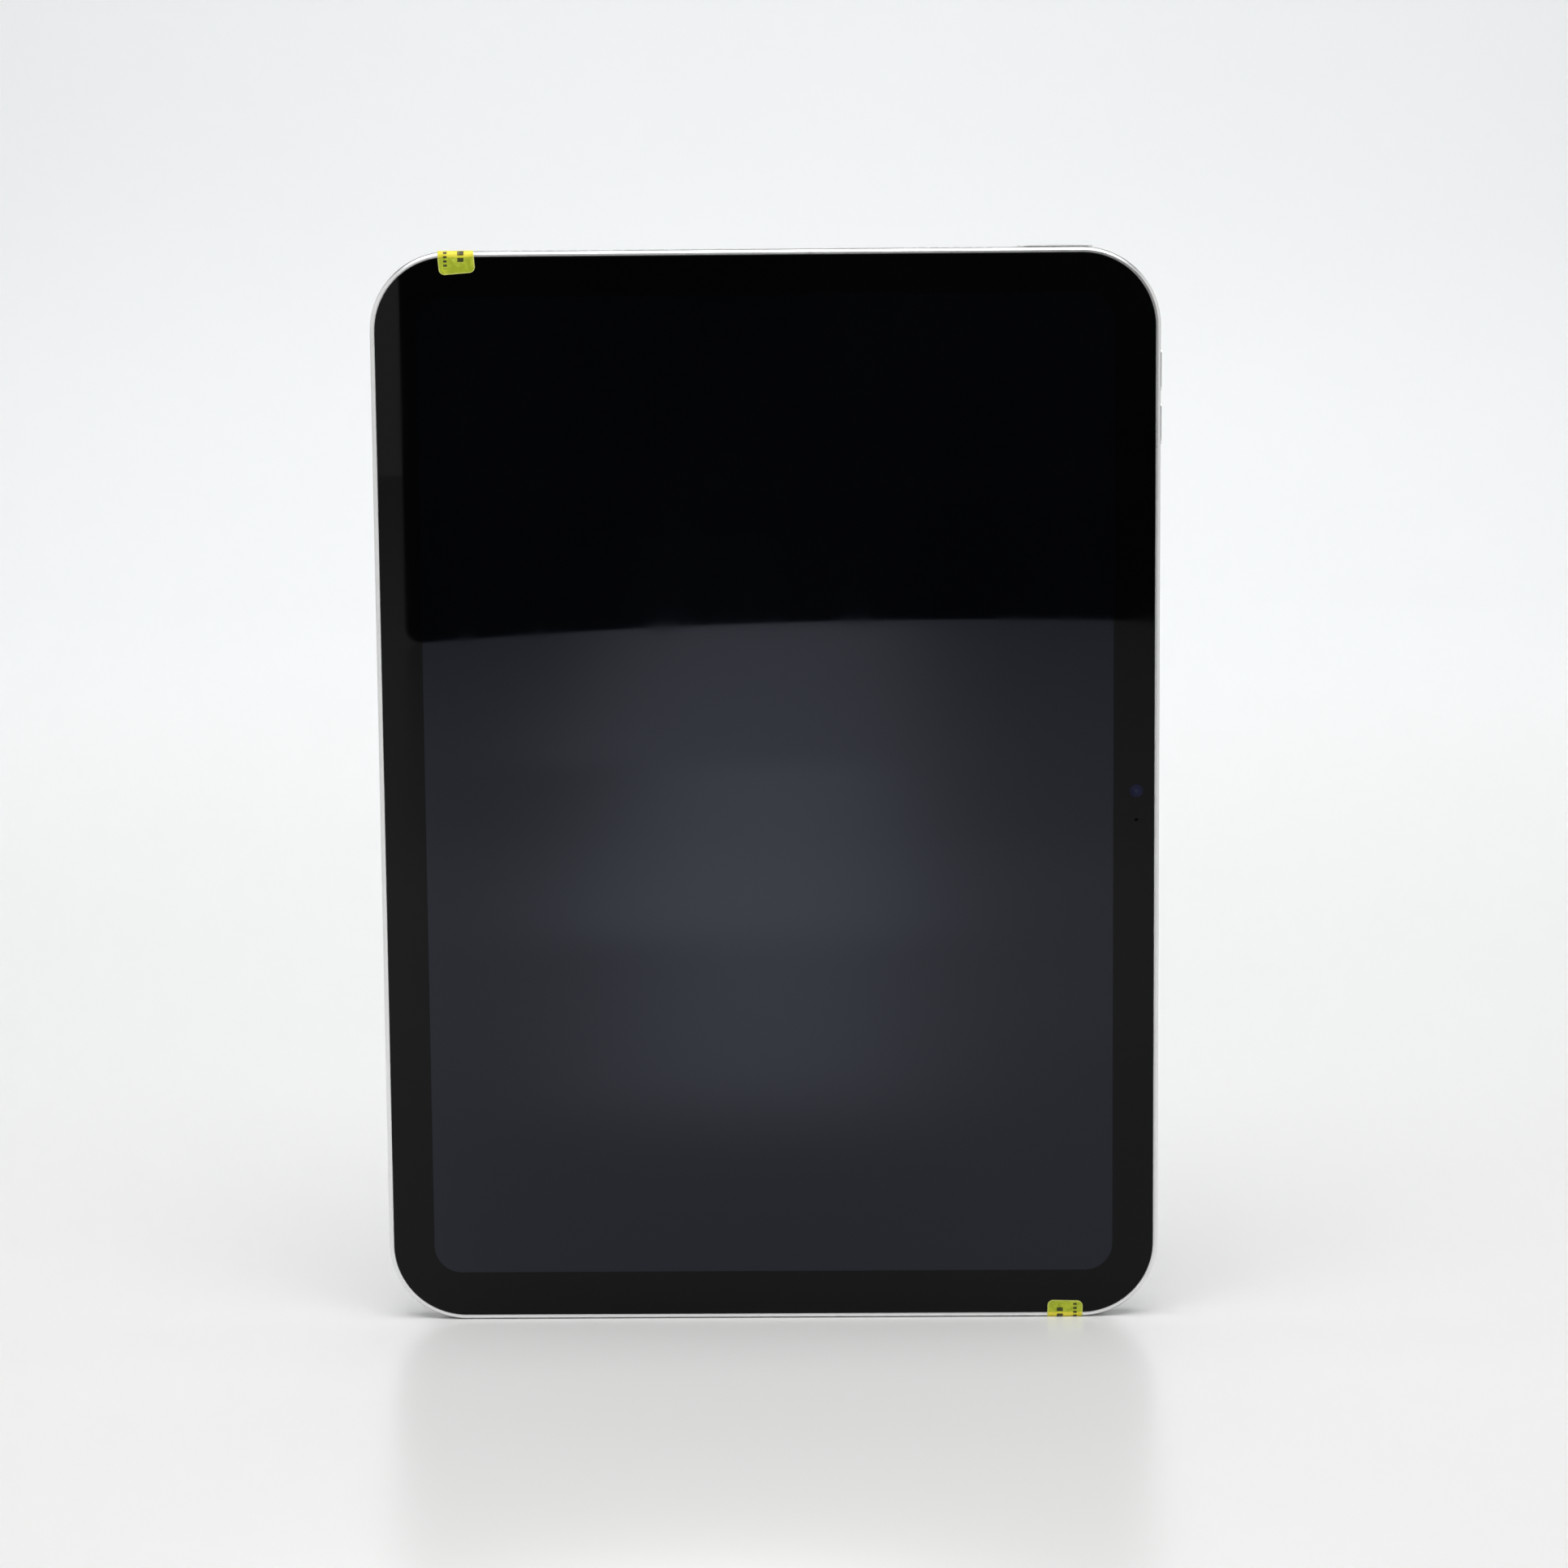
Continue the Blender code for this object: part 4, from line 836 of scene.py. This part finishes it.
def front_glass(looks):
    """One flush sheet: the printed border, the display area and two small windows."""
    outer = body_outline(GLASS_INSET)
    opening = round_rect(DISPLAY_W, DISPLAY_H, DISPLAY_R, 20, (0, DISPLAY_Z - MIDDLE_Z))
    spot = circle(CAMERA_WINDOW_R, (CAMERA_WINDOW_X, 0), 64)
    middle = Vector((CAMERA_WINDOW_X, SENSOR_WINDOW_Z - MIDDLE_Z))
    tilt = Matrix.Rotation(math.radians(SENSOR_WINDOW_TILT), 2)
    oval = [tuple(middle + tilt @ Vector(p)) for p in stadium(*SENSOR_WINDOW, steps=8)]
    border = glass_plate([outer, opening, spot, oval], MIDDLE_Z)

    def outer_front(point):
        inside_x = abs(point.x) < DISPLAY_W / 2 + 1 * MM
        inside_z = abs(point.z - DISPLAY_Z) < DISPLAY_H / 2 + 1 * MM
        off_x, off_z = abs(point.x - CAMERA_WINDOW_X), abs(point.z - MIDDLE_Z)
        at_window = off_x < WINDOW_CLEAR[0] and off_z < WINDOW_CLEAR[1]
        return point.y < FRONT_Y + 0.1 * MM and not (inside_x and inside_z) and not at_window

    soften(border, GLASS_EDGE, 3, outer_front)
    even_shading(border)
    piece(border, "glass_border", "tablet", "cover_glass", ["front_glass"], looks.border)
    parts = (
        ("display_window", opening, "display_glass", looks.display),
        ("front_camera_window", spot, "lens", looks.camera_window),
        ("light_sensor_window", oval, "black_plastic", looks.sensor_window),
    )
    for name, loop, slot, look in parts:
        window = smooth(glass_plate([loop], MIDDLE_Z))
        piece(window, name, "tablet", slot, ["front_glass"], look)


# ---------------------------------------------------------------- buttons


def button(name, size, place, facing, outward, body, looks, sensor=False):
    """A softly rounded cap with a flange that keeps it behind the wall, and a sensor pocket."""
    cap_t = WALL + PROUD + FLANGE_BELOW + FLANGE_T / 2
    place, out = Vector(place), Vector(outward)
    cap = prism("cap", [stadium(*size)], place + out * (PROUD - cap_t / 2), cap_t, facing)
    if sensor:
        pocket = stadium(SENSOR[0] + SENSOR_GAP, SENSOR[1] + SENSOR_GAP)
        floor = PROUD - SENSOR_T - SENSOR_GAP
        middle = place + out * (floor + POCKET_CUT / 2)
        cut(cap, prism("pocket", [pocket], middle, POCKET_CUT, facing))
    under = place - out * (WALL + FLANGE_BELOW + FLANGE_T / 2)
    grown = stadium(size[0] + FLANGE_GROW, size[1] + FLANGE_GROW)
    cut(cap, prism("flange", [grown], under, FLANGE_T, facing), operation="UNION")

    def on_rim(point):
        off = point - place
        clear_x = abs(off.x) > SENSOR[0] / 2 + SENSOR_GAP
        clear_y = abs(off.y) > SENSOR[1] / 2 + SENSOR_GAP
        return off.dot(out) > 0 and (clear_x or clear_y or not sensor)

    soften(cap, BUTTON_SOFT, 5, on_rim)
    even_shading(cap)
    piece(cap, name + "_cap", body, "anodised_aluminium", [name], looks.aluminium)


def buttons(looks):
    """The top button with its fingerprint window, and the two volume buttons."""
    top = (TOP_BUTTON_X, 0, HEIGHT)
    button("top_button", TOP_BUTTON, top, "top", (0, 0, 1), "top_button", looks, True)
    middle = (TOP_BUTTON_X, 0, HEIGHT + PROUD - SENSOR_SINK - SENSOR_T / 2)
    sensor = prism("sensor", [stadium(*SENSOR)], middle, SENSOR_T, "top")
    soften(sensor, SENSOR_SOFT)
    even_shading(sensor)
    piece(sensor, "fingerprint_window", "top_button", "sapphire", ["fingerprint_sensor"], looks.sapphire)
    for which, z in VOLUME_Z.items():
        size = (VOLUME[1], VOLUME[0])
        place = (SIDE_X, 0, z)
        button(f"volume_{which}_button", size, place, "side", (1, 0, 0), f"volume_{which}", looks)


# ---------------------------------------------------------------- rear camera


def rear_camera(looks):
    """The proud ring, the cover glass in it, and the focus barrel, turned round the lens axis."""
    place = (CAMERA_X, BACK_Y, CAMERA_Z)
    bore = COVER_R + COVER_GAP
    shelf = bore - SHELF_IN
    profile = [
        (shelf, SHELF_TOP),
        (bore, SHELF_TOP),
        *arc(RING_LIP, bore + RING_LIP, CAMERA_PROUD - RING_LIP, 180, 90, 4),
        *arc(RING_SOFT, RING_R - RING_SOFT, CAMERA_PROUD - RING_SOFT, 90, 0, 8),
        (RING_R, RING_BASE),
        (RING_BORE_R, RING_BASE),
        (RING_BORE_R, RING_FOOT),
        (shelf, RING_FOOT),
        (shelf, SHELF_TOP),
    ]
    ring = even_shading(turned("ring", profile, place, "back", 128))
    piece(ring, "camera_ring", "tablet", "anodised_aluminium", ["rear_camera_ring"], looks.aluminium)
    high = CAMERA_PROUD - COVER_SINK
    profile = [(0, high), *arc(COVER_SOFT, COVER_R - COVER_SOFT, high - COVER_SOFT, 90, 0, 3)]
    profile += [(COVER_R, COVER_BACK), (0, COVER_BACK)]
    cover = smooth(turned("cover", profile, place, "back", 128), 25)
    piece(cover, "camera_cover", "tablet", "lens", ["rear_camera_cover"], looks.cover)
    profile = [(0, GROOVE_TOP), (1.3 * MM, GROOVE_TOP), (2.0 * MM, -0.15 * MM)]
    profile += [(BARREL_R - 0.2 * MM, -0.15 * MM), (BARREL_R, -0.35 * MM)]
    inner = BARREL_R - GROOVE_DEPTH
    for step in range(GROOVES):
        low = GROOVE_TOP - step * GROOVE_PITCH
        profile += [(BARREL_R, low), (inner, low - 0.1 * MM)]
        profile += [(inner, low - 0.2 * MM), (BARREL_R, low - 0.3 * MM)]
    profile += [(BARREL_R, BARREL_BACK), (0, BARREL_BACK)]
    barrel = smooth(turned("barrel", profile, place, "back", 96))
    piece(barrel, "camera_barrel", "focus_barrel", "lens", ["rear_camera_barrel"], looks.lens)


# ---------------------------------------------------------------- connectors


def charging_port(looks):
    """The shell, the tongue on its base, and two rows of contact strips."""
    inner_size = (PORT[0] - 2 * PORT_WALL, PORT[1] - 2 * PORT_WALL)
    loops = [stadium(*PORT, steps=20), stadium(*inner_size, steps=20)]
    shell = prism("shell", loops, (0, 0, PORT_INSET + PORT_DEPTH / 2), PORT_DEPTH, "top")
    soften(shell, PORT_SOFT, 3, lambda point: point.z < 1 * MM)
    even_shading(shell)
    piece(shell, "port_shell", "tablet", "steel", ["usb_c_shell"], looks.steel)
    top = PORT_INSET + PORT_DEPTH
    base = stadium(*[size - 2 * TONGUE_GAP for size in inner_size])
    tongue = prism("base", [base], (0, 0, top - TONGUE_BASE / 2), TONGUE_BASE, "top")
    low, high = PORT_INSET + BLADE_INSET, top - TONGUE_BASE / 2
    outline = [round_rect(*BLADE, BLADE_R, 6)]
    blade = prism("blade", outline, (0, 0, (low + high) / 2), high - low, "top")
    soften(blade, BLADE_SOFT, 3, lambda point: point.z < low + 0.2 * MM)
    cut(tongue, blade, operation="UNION")
    even_shading(tongue)
    piece(tongue, "port_tongue", "tablet", "black_plastic", ["usb_c_tongue"], looks.plastic)
    strips = []
    outline = [round_rect(*STRIP, STRIP_R, 2)]
    for index in range(STRIPS):
        for side in (-1, 1):
            x = (index - (STRIPS - 1) / 2) * STRIP_PITCH
            place = (x, side * STRIP_OUT, low + STRIP_UP)
            strips.append(prism("strip", outline, place, STRIP_LENGTH, "top"))
    contacts = smooth(join(strips))
    piece(contacts, "port_contacts", "tablet", "gold_contact", [], looks.gold)


def join(objects):
    edit = bmesh.new()
    for obj in objects:
        edit.from_mesh(obj.data)
        bpy.data.objects.remove(obj)
    return finished(edit, "joined")


def accessory_connector(looks):
    """A flush insulator with a well round each of three domed contacts."""
    thickness = WALL - 0.5 * MM
    face_x = ACCESSORY_SINK - SIDE_X
    middle = (face_x + thickness / 2, 0, MIDDLE_Z)
    base = prism("base", [stadium(*ACCESSORY)], middle, thickness, "side")
    soften(base, ACCESSORY_SOFT, 3, lambda point: point.x < face_x + 0.3 * MM)
    wells = []
    outline = [circle(CONTACT_R + WELL_GAP)]
    for number in (1, 2, 3):
        z = MIDDLE_Z + (2 - number) * ACCESSORY_PITCH
        wells.append(prism("well", outline, (face_x, 0, z), WELL_CUT, "side"))
        contact = smooth(turned("contact", CONTACT_DOME, (face_x + CONTACT_SINK, 0, z), "left", 48))
        name = f"accessory_contact_{number}"
        piece(contact, f"charge_contact_{number}", "tablet", "gold_contact", [name], looks.gold)
    cut(base, *wells)
    even_shading(base)
    piece(base, "contact_insulator", "tablet", "grey_plastic", ["accessory_insulator"], looks.grey)


# ---------------------------------------------------------------- seals


def seal_point(along, out, end):
    """A place on the path from the glass round the edge: (y, z) at a distance along and out.

    along is counted from the edge's tangent point on the front, negative on the glass.
    """
    bend = math.pi / 2 * EDGE_R
    reach = EDGE_R + out
    if along < 0:
        y, z = FRONT_Y - out, -EDGE_R + along
    elif along < bend:
        angle = math.pi - along / EDGE_R
        y, z = FRONT_Y + EDGE_R + reach * math.cos(angle), -EDGE_R + reach * math.sin(angle)
    else:
        y, z = FRONT_Y + EDGE_R + along - bend, out
    return (y, HEIGHT + z) if end > 0 else (y, -z)


def seal_sheet(name, length_on_glass, length_on_edge, middle_x, end, tilt):
    """A closed thin sheet with round corners where it ends on the glass, and a paler cut border."""
    start = EDGE_R - length_on_glass
    total = math.pi / 2 * EDGE_R + length_on_edge - start
    quarter = [math.pi / 2 * step / SEAL_ROUND_STEPS for step in range(SEAL_ROUND_STEPS + 1)]
    rows = [SEAL_R * (1 - math.cos(angle)) for angle in quarter]
    rows += [SEAL_R + (total - SEAL_R) * (step + 1) / SEAL_ROWS for step in range(SEAL_ROWS)]
    inner = 1 - 2 * SEAL_BAND / SEAL_W
    spread = [inner * (2 * step / SEAL_COLUMNS - 1) for step in range(SEAL_COLUMNS + 1)]
    columns = [-1, *spread, 1]
    turn = math.radians(tilt)
    edit = bmesh.new()
    low, high = [], []
    for grid, out in ((low, SEAL_LIFT), (high, SEAL_LIFT + SEAL_T)):
        for row in rows:
            inset = SEAL_R - math.sqrt(max(0.0, SEAL_R**2 - max(0.0, SEAL_R - row) ** 2))
            down = row - length_on_glass
            line = []
            for column in columns:
                across = (SEAL_W / 2 - inset) * column
                x = across * math.cos(turn) - down * math.sin(turn)
                along = EDGE_R + across * math.sin(turn) + down * math.cos(turn)
                y, z = seal_point(along, out, end)
                line.append(edit.verts.new((middle_x + x, y, z)))
            grid.append(line)
    last_row, last_column = len(rows) - 1, len(columns) - 1
    for i in range(last_row):
        for j in range(last_column):
            top = edit.faces.new((high[i][j], high[i][j + 1], high[i + 1][j + 1], high[i + 1][j]))
            edit.faces.new((low[i][j], low[i + 1][j], low[i + 1][j + 1], low[i][j + 1]))
            if j in (0, last_column - 1) or rows[i + 1] <= SEAL_BAND:
                top.material_index = 1
    around = [(0, j) for j in range(last_column)]
    around += [(i, last_column) for i in range(last_row)]
    around += [(last_row, j) for j in range(last_column, 0, -1)]
    around += [(i, 0) for i in range(last_row, 0, -1)]
    for (a, b), (c, d) in zip(around, around[1:] + around[:1]):
        side = edit.faces.new((low[a][b], low[c][d], high[c][d], high[a][b]))
        side.material_index = 1
    bmesh.ops.recalc_face_normals(edit, faces=edit.faces)
    return finished(edit, name)


def seals(looks):
    for node, *plan in SEALS:
        sheet = smooth(seal_sheet(node, *plan))
        name = node.replace("tamper_", "") + "_film"
        piece(sheet, name, "tablet", "yellow_seal", [node], looks.seal, looks.seal_edge)


# ---------------------------------------------------------------- carried CAD nodes


def dress_inner_nodes(frame, looks):
    """Procedural looks for the CAD nodes that stay, by kind."""
    kinds = (
        ("glass_adhesive", looks.tape),
        ("lcd_panel", looks.panel),
        ("backlight_unit", looks.reflector),
        ("display_screw", looks.steel),
        ("bracket", looks.steel),
        ("switch", looks.plastic),
        ("camera_module", looks.plastic),
        ("front_camera_lens", looks.lens),
        ("light_sensor", looks.plastic),
        ("microphone", looks.shield),
        ("speaker_mesh", looks.mesh),
        ("speaker", looks.plastic),
        ("battery_cell", looks.pouch),
        ("flex", looks.flex),
        ("antenna", looks.flex),
        ("board", looks.board),
        ("shield", looks.shield),
        ("magnet", looks.magnet),
    )
    for name, node in frame["nodes"].items():
        if node.hide_render:
            continue
        for word, look in kinds:
            if word in name:
                dress(node, look)
                break
        else:
            raise ValueError(f"no look for {name}")


# ---------------------------------------------------------------- studio


def strip(name, pairs):
    """A surface through pairs of points, with one face from each pair to the next."""
    edit = bmesh.new()
    rows = [[edit.verts.new(point) for point in pair] for pair in pairs]
    for (a0, a1), (b0, b1) in zip(rows, rows[1:]):
        edit.faces.new((a0, b0, b1, a1))
    return finished(edit, name)


def sweep():
    """A pale floor that curves up into a low wall well behind the object."""
    line = [(SWEEP_FRONT, 0.0), (SWEEP_BEND_Y - 0.2, 0.0)]
    line += arc(SWEEP_BEND_R, SWEEP_BEND_Y, SWEEP_BEND_R, -90, 0, 24)
    line.append((SWEEP_BACK, SWEEP_TOP))
    obj = strip("studio_sweep", [((SWEEP_HALF, y, z), (-SWEEP_HALF, y, z)) for y, z in line])
    obj.data.shade_smooth()
    look = Surface("studio_floor", Roughness=0.28)
    tone = look.mix(look.noise(3, 2), (0.80, 0.80, 0.79), (0.816, 0.816, 0.8058))
    look.set(look.shader, "Base Color", tone)
    dress(obj, look.material)


def dark_card():
    """A dark studio card far in front, seen only in reflections: the unlit end of the room.

    It stands on the floor along a shallow curve, and its lower left corner is round.
    """
    base = arc(CARD_CORNER, CARD_LEFT + CARD_CORNER, CARD_CORNER, 180, 270, 8)
    start = base[-1][0]
    base += [(start + CARD_STEP * (step + 1), 0.0) for step in range(CARD_STEPS)]
    base.append((CARD_RIGHT, 0.0))
    pairs = []
    for x, z in base:
        y = CARD_Y + CARD_CURVE * min((x - CARD_MIDDLE_X) ** 2, CARD_CURVE_MOST)
        pairs.append(((x, y, z), (x, y, CARD_TOP)))
    obj = strip("studio_dark_card", pairs)
    look = Surface("studio_dark_card", Roughness=1.0)
    tone = look.mix(look.noise(4), (0.012, 0.012, 0.014), (0.024, 0.024, 0.026))
    look.set(look.shader, "Base Color", tone)
    look.set(look.shader, "Specular IOR Level", 0.0)
    dress(obj, look.material)
    obj.visible_camera = False
    obj.visible_diffuse = False
    obj.visible_transmission = False
    obj.visible_shadow = False


def glowing_wall(name, ends, strength):
    """A studio wall between two places on the floor that glows pale by its own emission. It is painted
    light, seen directly and in reflections, and it lights no matt surface.
    """
    obj = strip(name, [((x, y, 0.0), (x, y, WALL_TOP)) for x, y in ends])
    look = Surface(name, Roughness=1.0)
    tone = look.mix(look.noise(1.5), (0.88, 0.875, 0.86), (0.93, 0.925, 0.91))
    look.set(look.shader, "Base Color", (0.0, 0.0, 0.0))
    # Painted light: the wall's pale tone is emission, not light that falls on it from the lamps.
    look.set(look.shader, "Emission Color", tone)
    look.set(look.shader, "Emission Strength", strength)
    dress(obj, look.material)
    obj.visible_diffuse = False
    obj.visible_shadow = False


def glowing_walls():
    glowing_wall("studio_front_wall", ((-WALL_X, WALL_Y), (WALL_X, WALL_Y)), FRONT_WALL_GLOW)
    for name, x in (("left", -WALL_X), ("right", WALL_X)):
        glowing_wall(f"studio_{name}_wall", ((x, SWEEP_BACK), (x, WALL_Y)), SIDE_WALL_GLOW)


def soft_box(name, place, aim, size, power, spread, tone, in_gloss):
    light = bpy.data.lights.new(name, "AREA")
    light.shape = "RECTANGLE"
    light.size, light.size_y = size
    light.energy = power
    light.spread = math.radians(spread)
    light.color = tone
    obj = link(bpy.data.objects.new(name, light))
    obj.location = place
    obj.rotation_euler = (Vector(aim) - Vector(place)).to_track_quat("-Z", "Y").to_euler()
    obj.visible_camera = False
    obj.visible_glossy = in_gloss


def lights():
    world = bpy.data.worlds.new("studio_world")
    bpy.context.scene.world = world
    world.use_nodes = True
    background = world.node_tree.nodes["Background"]
    background.inputs["Color"].default_value = WORLD_TONE
    background.inputs["Strength"].default_value = WORLD_STRENGTH
    for lamp in LAMPS:
        soft_box(*lamp)
    for number, (x, y, width, length, power) in enumerate(GLOW, 1):
        place, aim, size = (x, y, GLOW_UP), (x, y, 0.0), (width, length)
        soft_box(f"floor_glow_{number}", place, aim, size, power, GLOW_SPREAD, WHITE, False)


def camera():
    """The photograph's viewpoint: a short telephoto, a little above and to the right."""
    level = math.cos(CAMERA_ELEVATION)
    back = Vector((
        math.sin(CAMERA_AZIMUTH) * level,
        -math.cos(CAMERA_AZIMUTH) * level,
        math.sin(CAMERA_ELEVATION),
    ))
    right = (-back).cross(Vector((0, 0, 1))).normalized()
    up = right.cross(-back)
    tilted = right * math.cos(CAMERA_ROLL) + up * math.sin(CAMERA_ROLL)
    axes = Matrix((tilted, back.cross(tilted), back)).transposed().to_4x4()
    data = bpy.data.cameras.new("camera")
    data.sensor_width = CAMERA_FILM
    data.lens = CAMERA_LENS
    data.clip_start, data.clip_end = CAMERA_CLIP
    obj = link(bpy.data.objects.new("camera", data))
    obj.matrix_world = Matrix.Translation(CAMERA_AIM + back * CAMERA_DISTANCE) @ axes
    bpy.context.scene.camera = obj


def main():
    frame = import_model()
    looks = Looks()
    housing(looks)
    front_glass(looks)
    buttons(looks)
    rear_camera(looks)
    charging_port(looks)
    accessory_connector(looks)
    seals(looks)
    dress_inner_nodes(frame, looks)
    sweep()
    dark_card()
    glowing_walls()
    lights()
    camera()
    bpy.context.scene.view_settings.view_transform = "Standard"


main()
